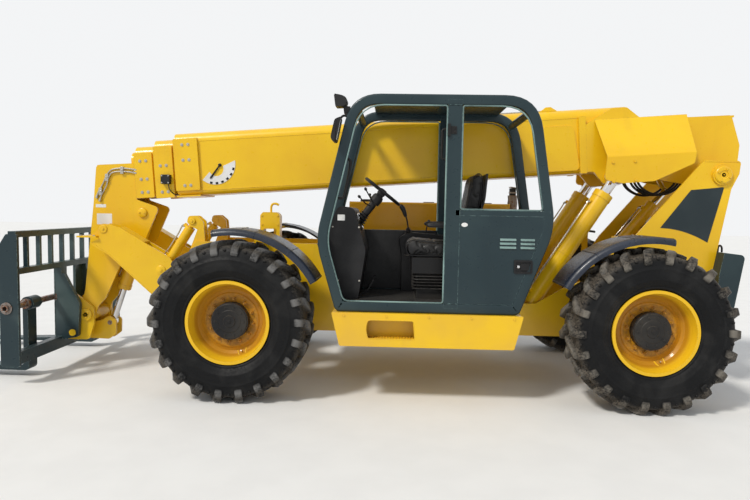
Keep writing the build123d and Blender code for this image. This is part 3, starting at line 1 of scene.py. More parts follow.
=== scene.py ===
"""A telehandler's looks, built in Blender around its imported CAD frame.

Metres, +X forward, +Y the cab's side, +Z up. Places are given from a point on the ground about
midway between the axles, as on a side view, and Stock.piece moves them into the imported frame.
Tables that mm() reads are in millimetres.
"""
from __future__ import annotations

import logging
import math
from dataclasses import dataclass
from enum import Enum

import bmesh
import bpy
import numpy as np
from mathutils import Matrix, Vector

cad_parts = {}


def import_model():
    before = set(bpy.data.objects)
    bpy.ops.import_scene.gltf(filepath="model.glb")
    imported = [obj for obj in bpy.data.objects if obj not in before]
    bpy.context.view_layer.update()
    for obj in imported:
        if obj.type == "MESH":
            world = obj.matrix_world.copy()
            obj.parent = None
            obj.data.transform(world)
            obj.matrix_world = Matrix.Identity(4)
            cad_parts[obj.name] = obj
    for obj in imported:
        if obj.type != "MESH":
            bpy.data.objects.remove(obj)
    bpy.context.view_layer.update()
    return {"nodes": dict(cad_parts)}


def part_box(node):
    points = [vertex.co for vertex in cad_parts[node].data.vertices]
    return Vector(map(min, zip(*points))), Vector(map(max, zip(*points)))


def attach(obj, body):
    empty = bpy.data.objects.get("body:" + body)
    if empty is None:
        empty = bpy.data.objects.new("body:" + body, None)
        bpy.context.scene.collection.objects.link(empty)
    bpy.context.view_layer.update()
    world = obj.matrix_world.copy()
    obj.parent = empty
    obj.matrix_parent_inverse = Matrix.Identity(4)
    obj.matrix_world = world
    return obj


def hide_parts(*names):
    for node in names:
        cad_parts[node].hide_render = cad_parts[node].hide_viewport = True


LOG = logging.getLogger("telehandler")
Colour = tuple[float, float, float]
FRONT_AXLE, REAR_AXLE = 1.757, -1.720
TYRE_RADIUS = 0.680
# half the width of a lug's foot, on which the tyre stands, lets the axle down by this cosine
AXLE_Z = TYRE_RADIUS * math.cos(math.asin(27 / 680))


class Slot(Enum):
    """The record's material slots."""

    YELLOW = "yellow_paint"
    GREEN = "green_paint"
    BLACK = "black_paint"
    TYRE = "tyre"
    CHROME = "chrome_rod"
    PLASTIC = "black_plastic"
    VINYL = "seat_vinyl"


def spread(values: object) -> np.ndarray:
    """The values as an array of floats."""
    return np.asarray(values, dtype=float)


def unit(vectors: np.ndarray) -> np.ndarray:
    """Vectors scaled to length one along their last axis."""
    return vectors / np.linalg.norm(vectors, axis=-1, keepdims=True)


def mm(values: object) -> np.ndarray:
    """Millimetres as an array of metres."""
    return spread(values) / 1000


def upright(outline: object, across: float) -> np.ndarray:
    """Points (x, z) stood at a place across the machine, as (x, y, z)."""
    flat = spread(outline)
    return np.column_stack((flat[:, 0], np.full(len(flat), across), flat[:, 1]))


def full_turn(count: int) -> np.ndarray:
    """Angles of so many even steps round a circle."""
    return np.linspace(0, 2 * math.pi, count, endpoint=False)


def end_capped(rows: np.ndarray) -> np.ndarray:
    """A grid with the middles of its end rows put before and after it, which closes its ends."""
    ends = np.repeat(rows[[0, -1]].mean(axis=1, keepdims=True), rows.shape[1], axis=1)
    return np.concatenate((ends[:1], rows, ends[1:]))


def button(radius: float, low: float, high: float, inner: object = None, top: object = None) -> np.ndarray:
    """A disc's closed profile (radius, height), drawn in to a smaller top where one is given.

    Args:
        radius: The disc's radius.
        low: Height of its foot.
        high: Height up to which it keeps its radius.
        inner: Radius of its top, or none for a plain disc.
        top: Height of its top.

    Returns:
        Points of the profile.
    """
    rim = [(0, low), (radius, low), (radius, high)]
    return spread(rim + ([(0, high)] if inner is None else [(inner, top), (0, top)]))


def band(inner: float, outer: float, low: float, high: float) -> np.ndarray:
    """A flat ring's closed profile (radius, height)."""
    return spread(((inner, low), (outer, low), (outer, high), (inner, high), (inner, low)))


def grid_faces(rows: int, cols: int, wrap_rows: bool = False, wrap_cols: bool = False) -> np.ndarray:
    """Four-cornered faces between neighbouring points of a grid.

    Args:
        rows: Points along the first parameter.
        cols: Points along the second parameter.
        wrap_rows: Whether the last row joins the first.
        wrap_cols: Whether the last column joins the first.

    Returns:
        An array of faces, each the indices of its four corners.
    """
    i, j = np.meshgrid(np.arange(rows if wrap_rows else rows - 1),
        np.arange(cols if wrap_cols else cols - 1), indexing="ij")
    i, j = i.ravel(), j.ravel()
    up, on = (i + 1) % rows, (j + 1) % cols
    return np.stack((i * cols + j, i * cols + on, up * cols + on, up * cols + j), axis=1)


def smooth_path(points: object, steps: int = 8) -> np.ndarray:
    """A smooth line through points: on each run, the cubic whose end slopes are half the chord
    between the neighbours on each side.

    Args:
        points: The points it passes through.
        steps: Parts that each run is divided into.

    Returns:
        The points of the line.
    """
    p = spread(points)
    before = np.vstack((2 * p[:1] - p[1:2], p[:-1]))
    after = np.vstack((p[1:], 2 * p[-1:] - p[-2:-1]))
    slope = (after - before) / 2
    t = np.linspace(0, 1, steps, endpoint=False)[None, :, None]
    a, b, sa, sb = p[:-1, None], p[1:, None], slope[:-1, None], slope[1:, None]
    run = (a * (1 + 2 * t) * (1 - t) ** 2 + sa * t * (1 - t) ** 2 + b * t ** 2 * (3 - 2 * t)
        + sb * t ** 2 * (t - 1))
    return np.vstack((run.reshape(-1, p.shape[1]), p[-1:]))


def rounded(corners: object, steps: int = 5) -> np.ndarray:
    """A closed outline whose corners are rounded by parabolas that start and end at each
    corner's distance from it.

    Args:
        corners: Corners (u, v, distance) in turning order.
        steps: Parts that each rounding is divided into.

    Returns:
        Points (u, v) of the outline.
    """
    c = spread(corners)
    p, reach = c[:, :2], c[:, 2:3]
    back, on = unit(np.roll(p, 1, 0) - p), unit(np.roll(p, -1, 0) - p)
    t = np.linspace(0, 1, steps)[None, :, None]
    start, end = (p + back * reach)[:, None], (p + on * reach)[:, None]
    return (start * (1 - t) ** 2 + 2 * p[:, None] * t * (1 - t) + end * t ** 2).reshape(-1, 2)


def pane(u0: float, v0: float, u1: float, v1: float, reach: float, steps: int = 3) -> np.ndarray:
    """A rectangle between two corners, all its corners rounded by one reach."""
    return rounded(((u0, v0, reach), (u1, v0, reach), (u1, v1, reach), (u0, v1, reach)), steps)


def placed(name: str, data: bpy.types.ID) -> bpy.types.Object:
    """A new object of the scene, at the origin."""
    made = bpy.data.objects.new(name, data)
    bpy.context.scene.collection.objects.link(made)
    return made


def places_of(mesh: bpy.types.Mesh) -> np.ndarray:
    """A mesh's points as an array (n, 3)."""
    points = np.empty(len(mesh.vertices) * 3)
    mesh.vertices.foreach_get("co", points)
    return points.reshape(-1, 3)


def stance(side: np.ndarray, up: np.ndarray, back: np.ndarray, place: object = (0, 0, 0)) -> Matrix:
    """The placing matrix whose columns are three directions and a place."""
    turn = np.eye(4)
    turn[:3] = np.column_stack((side, up, back, spread(place)))
    return Matrix(turn.tolist())


class Stock:
    """Points and faces gathered for one piece."""

    def __init__(self) -> None:
        """Start with nothing."""
        self.points: list[np.ndarray] = []
        self.corners: list[np.ndarray] = []
        self.sizes: list[np.ndarray] = []
        self.count = 0

    def add(self, points: object, faces: object) -> Stock:
        """Put in points and faces that all have as many corners.

        Args:
            points: Points, in any shape whose last axis is X, Y, Z.
            faces: Rows of indices into those points.

        Returns:
            This stock.
        """
        block, rows = spread(points).reshape(-1, 3), np.asarray(faces, dtype=int)
        self.points.append(block)
        self.corners.append((rows + self.count).ravel())
        self.sizes.append(np.full(len(rows), rows.shape[1]))
        self.count += len(block)
        return self

    def grid(self, points: np.ndarray, wrap_rows: bool = False, wrap_cols: bool = False) -> Stock:
        """Put in a surface given as a grid of points (rows, columns, 3)."""
        return self.add(points, grid_faces(*points.shape[:2], wrap_rows, wrap_cols))

    def copies(self, template: np.ndarray, faces: np.ndarray, places: object, frames: np.ndarray) -> Stock:
        """Put in copies of a template: place + u * a + v * b + w * n for its points (u, v, w).

        Args:
            template: Points (k, 3) of the template.
            faces: Its faces.
            places: Where each copy's origin goes, (m, 3).
            frames: Each copy's three directions a, b, n, (m, 3, 3).

        Returns:
            This stock.
        """
        where = spread(places).reshape(-1, 3)
        points = where[:, None] + np.einsum("ki,mij->mkj", template, frames)
        rows = faces[None] + (np.arange(len(where)) * len(template))[:, None, None]
        return self.add(points, rows.reshape(-1, faces.shape[1]))

    def tube(self, path: object, radius: object, sides: int = 10, closed: bool = False) -> Stock:
        """Put in a round bar along a path: path + radius * (side cos t + other sin t), where side
        is square to the path and to the axis that it follows least.

        Args:
            path: Points of the middle line.
            radius: One radius, or one for each point.
            sides: Faces round the bar.
            closed: Whether the path closes on itself, so that it has no ends.

        Returns:
            This stock.
        """
        p = spread(path)
        if closed:
            along = unit(np.roll(p, -1, 0) - np.roll(p, 1, 0))
        else:
            along = unit(np.gradient(p, axis=0))
        axis = np.eye(3)[np.argmin(np.abs(along).max(axis=0))]
        side = unit(np.cross(along, axis))
        other = np.cross(along, side)
        r = np.broadcast_to(spread(radius), (len(p),))[:, None, None]
        t = full_turn(sides)[None, :, None]
        rings = p[:, None] + r * (side[:, None] * np.cos(t) + other[:, None] * np.sin(t))
        if not closed:
            ends = np.repeat(p[[0, -1], None], sides, axis=1)
            rings = np.concatenate((ends[:1], rings, ends[1:]))
        return self.grid(rings, closed, True)

    def turned(self, profile: object, centre: object, axis: object, sides: int = 32) -> Stock:
        """Put in a turned form: centre + axis * w + r (a cos t + b sin t) for its profile (r, w).

        Args:
            profile: Points (radius, height), closed by points on the axis or by its own ends.
            centre: The point at height zero.
            axis: Direction of the height.
            sides: Faces round the form.

        Returns:
            This stock.
        """
        a, b, n = frame_about(spread(axis)[None])[0]
        t = full_turn(sides)[None, :, None]
        k = spread(profile)
        ring = a * np.cos(t) + b * np.sin(t)
        points = spread(centre) + n * k[:, 1, None, None] + ring * k[:, 0, None, None]
        return self.grid(points, False, True)

    def slab(self, outline: object, low: float, high: float, across: str = "y") -> Stock:
        """Put in a flat plate: an outline carried from low to high along one axis.

        Args:
            outline: Points (u, v) in the other two axes' order.
            low: Where it starts.
            high: Where it ends.
            across: The axis that it is carried along.

        Returns:
            This stock.
        """
        flat = spread(outline)
        order = {"x": (2, 0, 1), "y": (0, 2, 1), "z": (0, 1, 2)}[across]
        rows = [np.column_stack((flat, np.full(len(flat), w)))[:, order] for w in (low, high)]
        n = len(flat)
        ring = np.arange(n)
        self.add(np.stack(rows), grid_faces(2, n, False, True))
        self.corners += [self.count - 2 * n + ring[::-1], self.count - n + ring]
        self.sizes += [np.array([n]), np.array([n])]
        return self

    def box(self, low: object, high: object) -> Stock:
        """Put in a block between two corners, as part of a larger piece."""
        (x0, y0, z0), (x1, y1, z1) = low, high
        return self.slab([(x0, z0), (x1, z0), (x1, z1), (x0, z1)], y0, y1)

    def piece(self, name: str, finish: bpy.types.Material, slot: Slot, body: str = "root",
            bevel: float = 0.0, smooth: float = 35.0, merge: float = 1e-5) -> bpy.types.Object:
        """Make the piece from what was gathered.

        Args:
            name: The piece's name.
            finish: Its material.
            body: The CAD body that it rides on.
            slot: The record's slot that its finish belongs to; not used.
            bevel: Width of the rounding on its edges, or 0.
            smooth: Edges sharper than this many degrees stay sharp.
            merge: Points nearer than this become one.

        Returns:
            The piece's object.
        """
        points = np.concatenate(self.points) + (Datum.shift, 0, 0)
        sizes = np.concatenate(self.sizes)
        mesh = bpy.data.meshes.new(name)
        mesh.vertices.add(len(points))
        mesh.vertices.foreach_set("co", points.ravel())
        mesh.loops.add(int(sizes.sum()))
        mesh.loops.foreach_set("vertex_index", np.concatenate(self.corners))
        mesh.polygons.add(len(sizes))
        mesh.polygons.foreach_set("loop_start", np.concatenate(([0], np.cumsum(sizes)[:-1])))
        mesh.update(calc_edges=True)
        mesh.validate()
        work = bmesh.new()
        work.from_mesh(mesh)
        bmesh.ops.remove_doubles(work, verts=work.verts, dist=merge)
        bmesh.ops.recalc_face_normals(work, faces=work.faces)
        work.to_mesh(mesh)
        work.free()
        mesh.polygons.foreach_set("use_smooth", np.ones(len(mesh.polygons), dtype=bool))
        mesh.set_sharp_from_angle(angle=math.radians(smooth))
        piece = placed(name, mesh)
        mesh.materials.append(finish)
        if bevel:
            edge = piece.modifiers.new("edges", "BEVEL")
            edge.width, edge.segments, edge.limit_method = bevel, 2, "ANGLE"
            edge.angle_limit = math.radians(40)
        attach(piece, body)
        LOG.info("%s: %d faces on %s", name, len(mesh.polygons), body)
        return piece


def frame_about(normals: np.ndarray) -> np.ndarray:
    """Three square directions a, b, n for each normal n, with a square to the axis n follows least.

    Args:
        normals: Directions, (m, 3).

    Returns:
        Frames, (m, 3, 3).
    """
    n = unit(normals)
    axis = np.eye(3)[np.argmin(np.abs(n), axis=1)]
    a = unit(np.cross(axis, n))
    return np.stack((a, np.cross(n, a), n), axis=1)


class Datum:
    """Where the survey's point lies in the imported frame, and the boom's own directions."""

    shift = 0.0
    pivot = spread((-2.599, 2.008))
    tilt = math.radians(4.2)

    @classmethod
    def find(cls) -> None:
        """Set the shift from the front tyre's middle, which is the front axle's place."""
        low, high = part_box("tyre_front_left")
        cls.shift = (low[0] + high[0]) / 2 - FRONT_AXLE

    @classmethod
    def on_boom(cls, along: object, y: object, up: object) -> np.ndarray:
        """Points given along the boom from its pivot, across it, and above its pivot line.

        Args:
            along: Distances along the boom.
            y: Distances across the machine.
            up: Heights above the pivot line.

        Returns:
            Points in X, Y, Z.
        """
        a, w, h = np.broadcast_arrays(spread(along), spread(y), spread(up))
        c, s = math.cos(cls.tilt), math.sin(cls.tilt)
        return np.stack((cls.pivot[0] + a * c + h * s, w, cls.pivot[1] - a * s + h * c), axis=-1)


# Finishes

class Graph:
    """A material's nodes, made and joined by short calls."""

    def __init__(self, name: str) -> None:
        """Start a material with one shader.

        Args:
            name: The material's name.
        """
        self.material = bpy.data.materials.new(name)
        self.material.use_nodes = True
        self.tree = self.material.node_tree
        self.shader = self.tree.nodes["Principled BSDF"]
        self.place = self.node("ShaderNodeTexCoord").outputs["Object"]

    def node(self, kind: str, **settings: object) -> bpy.types.Node:
        """Make a node and set its properties."""
        made = self.tree.nodes.new(kind)
        for key, value in settings.items():
            setattr(made, key, value)
        return made

    def put(self, socket: bpy.types.NodeSocket, value: object) -> None:
        """Give an input a value, or join another node's output to it."""
        if isinstance(value, bpy.types.NodeSocket):
            self.tree.links.new(value, socket)
        else:
            socket.default_value = value

    def noise(self, scale: float, detail: float = 3.0, stretch: object = None,
            distort: float = 0.0) -> bpy.types.NodeSocket:
        """Noise between 0 and 1 over the piece.

        Args:
            scale: Cells to the metre.
            detail: Finer octaves.
            stretch: Scale along X, Y and Z, for streaks.
            distort: How far the cells are pulled about.

        Returns:
            The noise's output.
        """
        where = self.place
        if stretch is not None:
            turn = self.node("ShaderNodeMapping")
            self.put(turn.inputs["Vector"], self.place)
            turn.inputs["Scale"].default_value = stretch
            where = turn.outputs["Vector"]
        made = self.node("ShaderNodeTexNoise")
        self.put(made.inputs["Vector"], where)
        made.inputs["Scale"].default_value = scale
        made.inputs["Detail"].default_value = detail
        made.inputs["Distortion"].default_value = distort
        return made.outputs["Fac"]

    def span(self, value: object, low: float, high: float, to: tuple[float, float] = (0.0,
            1.0)) -> bpy.types.NodeSocket:
        """A value carried from low..high to another range, and held inside it."""
        made = self.node("ShaderNodeMapRange", interpolation_type="SMOOTHSTEP")
        self.put(made.inputs["Value"], value)
        for key, number in (("From Min", low), ("From Max", high), ("To Min", to[0]), ("To Max", to[1])):
            made.inputs[key].default_value = number
        return made.outputs["Result"]

    def math(self, kind: str, a: object, b: object = 0.0) -> bpy.types.NodeSocket:
        """Arithmetic on two values."""
        made = self.node("ShaderNodeMath", operation=kind)
        self.put(made.inputs[0], a)
        self.put(made.inputs[1], b)
        return made.outputs["Value"]

    def times(self, a: object, b: object) -> bpy.types.NodeSocket:
        """The product of two values."""
        return self.math("MULTIPLY", a, b)

    def mix(self, share: object, a: object, b: object) -> bpy.types.NodeSocket:
        """Colour a with b laid over it by share."""
        made = self.node("ShaderNodeMix", data_type="RGBA")
        self.put(made.inputs["Factor"], share)
        for key, value in ((6, a), (7, b)):
            self.put(made.inputs[key], (*value, 1.0) if isinstance(value, tuple) else value)
        return made.outputs[2]

    def edges(self, reach: float) -> bpy.types.NodeSocket:
        """How near a point is to a sharp edge: 0 on flats, towards 1 at the edge.

        Args:
            reach: Distance over which an edge is felt.

        Returns:
            The value's output.
        """
        bevel = self.node("ShaderNodeBevel", samples=4)
        bevel.inputs["Radius"].default_value = reach
        normal = self.node("ShaderNodeNewGeometry").outputs["Normal"]
        dot = self.node("ShaderNodeVectorMath", operation="DOT_PRODUCT")
        self.put(dot.inputs[0], bevel.outputs["Normal"])
        self.put(dot.inputs[1], normal)
        return self.span(dot.outputs["Value"], 0.99, 0.80)

    def upward(self) -> bpy.types.NodeSocket:
        """How far the surface faces up, in the piece's own directions: -1 to 1."""
        split = self.node("ShaderNodeSeparateXYZ")
        self.put(split.inputs[0], self.node("ShaderNodeTexCoord").outputs["Normal"])
        return split.outputs["Z"]

    def height(self) -> bpy.types.NodeSocket:
        """Height above the ground at rest, in metres."""
        split = self.node("ShaderNodeSeparateXYZ")
        self.put(split.inputs[0], self.place)
        return split.outputs["Z"]

    def bump(self, value: object, distance: float, strength: float = 1.0,
            under: object = None) -> bpy.types.NodeSocket:
        """A normal that follows a height.

        Args:
            value: Height from 0 to 1.
            distance: Metres that 1 stands for.
            strength: Share of the effect.
            under: Another normal that this one goes over.

        Returns:
            The normal's output.
        """
        made = self.node("ShaderNodeBump")
        made.inputs["Distance"].default_value = distance
        made.inputs["Strength"].default_value = strength
        self.put(made.inputs["Height"], value)
        if under is not None:
            self.put(made.inputs["Normal"], under)
        return made.outputs["Normal"]

    def about(self, centre: tuple[float, float, float]) -> bpy.types.NodeSocket:
        """Distance from a line across the machine through a survey point."""
        move = self.node("ShaderNodeMapping")
        self.put(move.inputs["Vector"], self.place)
        move.inputs["Location"].default_value = (-centre[0] - Datum.shift, 0, -centre[2])
        move.inputs["Scale"].default_value = (1, 0, 1)
        size = self.node("ShaderNodeVectorMath", operation="LENGTH")
        self.put(size.inputs[0], move.outputs["Vector"])
        return size.outputs["Value"]

    def finish(self, colour: object, roughness: object, metallic: object = 0.0, coat: float = 0.0,
            normal: object = None, coat_roughness: float = 0.1,
            specular: float = 0.5) -> bpy.types.Material:
        """Join colour, roughness and normal to the shader.

        Returns:
            The material.
        """
        inputs = self.shader.inputs
        self.put(inputs["Base Color"], (*colour, 1.0) if isinstance(colour, tuple) else colour)
        self.put(inputs["Roughness"], roughness)
        self.put(inputs["Metallic"], metallic)
        inputs["Coat Weight"].default_value = coat
        inputs["Coat Roughness"].default_value = coat_roughness
        inputs["Specular IOR Level"].default_value = specular
        if normal is not None:
            self.put(inputs["Normal"], normal)
        return self.material


@dataclass(frozen=True)
class Enamel:
    """Sprayed enamel on steel: cloudy fading, dust on top and low down, wear at its edges."""

    name: str
    colour: Colour
    faded: Colour
    worn: Colour
    dust: Colour = (0.42, 0.36, 0.27)
    dusty: float = 0.25
    wear: float = 0.5
    gloss: float = 0.32
    bare: tuple[tuple[float, float, float], ...] = ()
    bare_radius: float = 0.03
    coat: float = 0.22
    specular: float = 0.35

    def build(self) -> bpy.types.Material:
        """The material.

        Returns:
            Enamel whose bare places, round the given lines across the machine, show steel.
        """
        g = Graph(self.name)
        cloud = g.noise(1.7, 4.0, distort=0.4)
        fine = g.noise(26.0, 5.0)
        streak = g.noise(7.0, 4.0, stretch=(1.0, 1.0, 0.16))
        colour = g.mix(g.span(cloud, 0.35, 0.68), self.colour, self.faded)
        colour = g.mix(g.span(streak, 0.55, 0.85, (0.0, 0.22)), colour,
            tuple(c * 0.62 for c in self.colour))
        top = g.times(g.span(g.upward(), 0.35, 0.95), g.span(fine, 0.30, 0.72))
        low = g.times(g.span(g.height(), 1.25, 0.30), g.span(cloud, 0.30, 0.75))
        share = g.times(g.math("MAXIMUM", top, low), self.dusty)
        colour = g.mix(share, colour, self.dust)
        chips = g.times(g.edges(0.006), g.span(g.noise(48.0, 4.0), 0.62, 0.40))
        specks = g.span(g.noise(95.0, 2.0), 0.735, 0.76)
        rubbed = g.math("MAXIMUM", g.times(chips, self.wear), g.times(specks, self.wear * 0.25))
        colour = g.mix(rubbed, colour, self.worn)
        roughness = g.math("ADD", g.span(fine, 0.3, 0.7, (self.gloss - 0.05, self.gloss + 0.09)),
            g.times(share, 0.5))
        metallic: object = 0.0
        for place in self.bare:
            ring = g.span(g.about(place), self.bare_radius + 0.0015, self.bare_radius - 0.0005)
            rust = g.mix(g.span(g.noise(60.0, 5.0), 0.40, 0.62), (0.30, 0.28, 0.26), (0.20, 0.075, 0.03))
            colour = g.mix(ring, colour, rust)
            metallic = g.math("MAXIMUM", metallic, g.times(ring, 0.7))
        normal = g.bump(g.noise(420.0, 2.0), 0.00025, 0.5)
        normal = g.bump(cloud, 0.004, 0.25, normal)
        return g.finish(colour, roughness, metallic, self.coat, normal, 0.12, self.specular)


@dataclass(frozen=True)
class DishEnamel:
    """A wheel's enamel: near-black hub, dish in painted-shade ochre, darker and blotchy towards the hub,
    bright lip.
    """

    name: str
    centre: tuple[float, float, float]
    bright: Colour = (0.80, 0.48, 0.012)
    shaded_ochre: Colour = (0.47, 0.215, 0.010)
    hub: Colour = (0.018, 0.017, 0.018)

    def build(self) -> bpy.types.Material:
        """The material, whose rings lie about the wheel's own axle."""
        g = Graph(self.name)
        radius = g.about(self.centre)
        fine = g.noise(38.0, 5.0)
        # painted shade: inside r 0.292 to 0.318 the dish turns a darker ochre for its shaded recess; the
        # lip keeps the bright yellow
        colour = g.mix(g.span(radius, 0.292, 0.318), self.shaded_ochre, self.bright)
        # darker and blotchy from r 0.27 in towards 0.20
        hubward_dark = g.times(g.span(radius, 0.27, 0.20), g.span(fine, 0.35, 0.7))
        colour = g.mix(g.times(hubward_dark, 0.55), colour, (0.17, 0.085, 0.025))
        scuff = g.times(g.edges(0.005), g.span(g.noise(60.0, 4.0), 0.6, 0.42))
        colour = g.mix(g.times(scuff, 0.45), colour, (0.22, 0.12, 0.05))
        colour = g.mix(g.span(radius, 0.1575, 0.1560), colour, g.mix(g.span(fine, 0.45, 0.75), self.hub,
            (0.055, 0.05, 0.045)))
        normal = g.bump(g.noise(300.0, 3.0), 0.0004, 0.6)
        return g.finish(colour, g.span(fine, 0.3, 0.7, (0.34, 0.52)), 0.0, 0.12, normal, 0.1, 0.3)


@dataclass(frozen=True)
class Rubber:
    """Tyre rubber: dark walls, lugs rubbed grey, dust in the grooves, by the mesh's own values."""

    name: str
    black: Colour = (0.0060, 0.0063, 0.0070)
    rubbed: Colour = (0.185, 0.182, 0.178)
    dust: Colour = (0.120, 0.104, 0.084)

    def build(self) -> bpy.types.Material:
        """The material: "lug" is 1 on the lugs' tops, and "groove" is 1 on the tread's floor."""
        g = Graph(self.name)
        lug = g.node("ShaderNodeAttribute", attribute_name="lug").outputs["Fac"]
        groove = g.node("ShaderNodeAttribute", attribute_name="groove").outputs["Fac"]
        cloud, fine = g.noise(5.0, 5.0, distort=0.5), g.noise(70.0, 5.0)
        worn = g.times(lug, g.span(g.math("ADD", cloud, g.times(fine, 0.5)), 0.52, 0.90))
        colour = g.mix(g.span(cloud, 0.42, 0.78), self.black, (0.019, 0.019, 0.019))
        colour = g.mix(g.times(worn, 0.85), colour, self.rubbed)
        packed = g.times(groove, g.span(fine, 0.32, 0.62))
        colour = g.mix(g.times(packed, 0.6), colour, self.dust)
        normal = g.bump(g.noise(220.0, 4.0), 0.0008, 0.7)
        normal = g.bump(g.noise(30.0, 3.0), 0.002, 0.4, normal)
        return g.finish(colour, g.span(fine, 0.3, 0.75, (0.42, 0.72)), 0.0, 0.0, normal, 0.1, 0.16)


@dataclass(frozen=True)
class Steel:
    """Bare or plated metal, with drawn marks and some rust."""

    name: str
    colour: Colour = (0.52, 0.51, 0.49)
    rusty: float = 0.25
    roughness: tuple[float, float] = (0.22, 0.42)
    grain: float = 0.0002

    def build(self) -> bpy.types.Material:
        """The material."""
        g = Graph(self.name)
        spots = g.span(g.noise(55.0, 6.0), 0.72 - self.rusty * 0.4, 0.80)
        colour = g.mix(g.noise(20.0, 3.0), self.colour, tuple(c * 0.75 for c in self.colour))
        colour = g.mix(spots, colour, (0.19, 0.075, 0.030))
        roughness = g.math("ADD", g.span(g.noise(90.0, 3.0, (1.0, 1.0, 0.1)), 0.3, 0.7, self.roughness),
            g.times(spots, 0.4))
        metallic = g.math("SUBTRACT", 1.0, g.times(spots, 0.85))
        return g.finish(colour, roughness, metallic, 0.0, g.bump(g.noise(260.0, 3.0), self.grain))


@dataclass(frozen=True)
class Moulded:
    """Moulded plastic or rubber trim with a fine grain."""

    name: str
    colour: Colour
    scuffed: Colour
    roughness: tuple[float, float] = (0.36, 0.55)
    grain: float = 480.0
    depth: float = 0.0004
    dusty: float = 0.12
    coat: float = 0.0
    specular: float = 0.28

    def build(self) -> bpy.types.Material:
        """The material."""
        g = Graph(self.name)
        cloud, fine = g.noise(4.0, 4.0), g.noise(60.0, 5.0)
        colour = g.mix(g.span(cloud, 0.35, 0.7), self.colour, self.scuffed)
        top = g.times(g.span(g.upward(), 0.3, 0.95), g.span(fine, 0.35, 0.7))
        colour = g.mix(g.times(top, self.dusty), colour, (0.30, 0.27, 0.23))
        edge = g.times(g.edges(0.005), g.span(fine, 0.6, 0.4))
        colour = g.mix(g.times(edge, 0.4), colour, self.scuffed)
        cells = g.node("ShaderNodeTexVoronoi")
        g.put(cells.inputs["Vector"], g.place)
        cells.inputs["Scale"].default_value = self.grain
        normal = g.bump(cells.outputs["Distance"], self.depth, 0.6)
        return g.finish(colour, g.span(fine, 0.3, 0.7, self.roughness), 0.0, self.coat, normal, 0.1,
            self.specular)


@dataclass(frozen=True)
class Lens:
    """Lamp, mirror or reflector face."""

    name: str
    colour: Colour
    metallic: float = 0.0
    roughness: float = 0.06
    ribs: float = 160.0
    depth: float = 0.0006

    def build(self) -> bpy.types.Material:
        """The material, with ribs across it that show as bump."""
        g = Graph(self.name)
        wave = g.node("ShaderNodeTexWave", wave_type="BANDS", bands_direction="Y")
        g.put(wave.inputs["Vector"], g.place)
        wave.inputs["Scale"].default_value = self.ribs / 6.28
        colour = g.mix(g.span(g.noise(40.0, 4.0), 0.5, 0.8), self.colour,
            tuple(c * 0.8 for c in self.colour))
        return g.finish(colour, self.roughness, self.metallic, 0.6, g.bump(wave.outputs["Fac"], self.depth,
            0.5), 0.05)


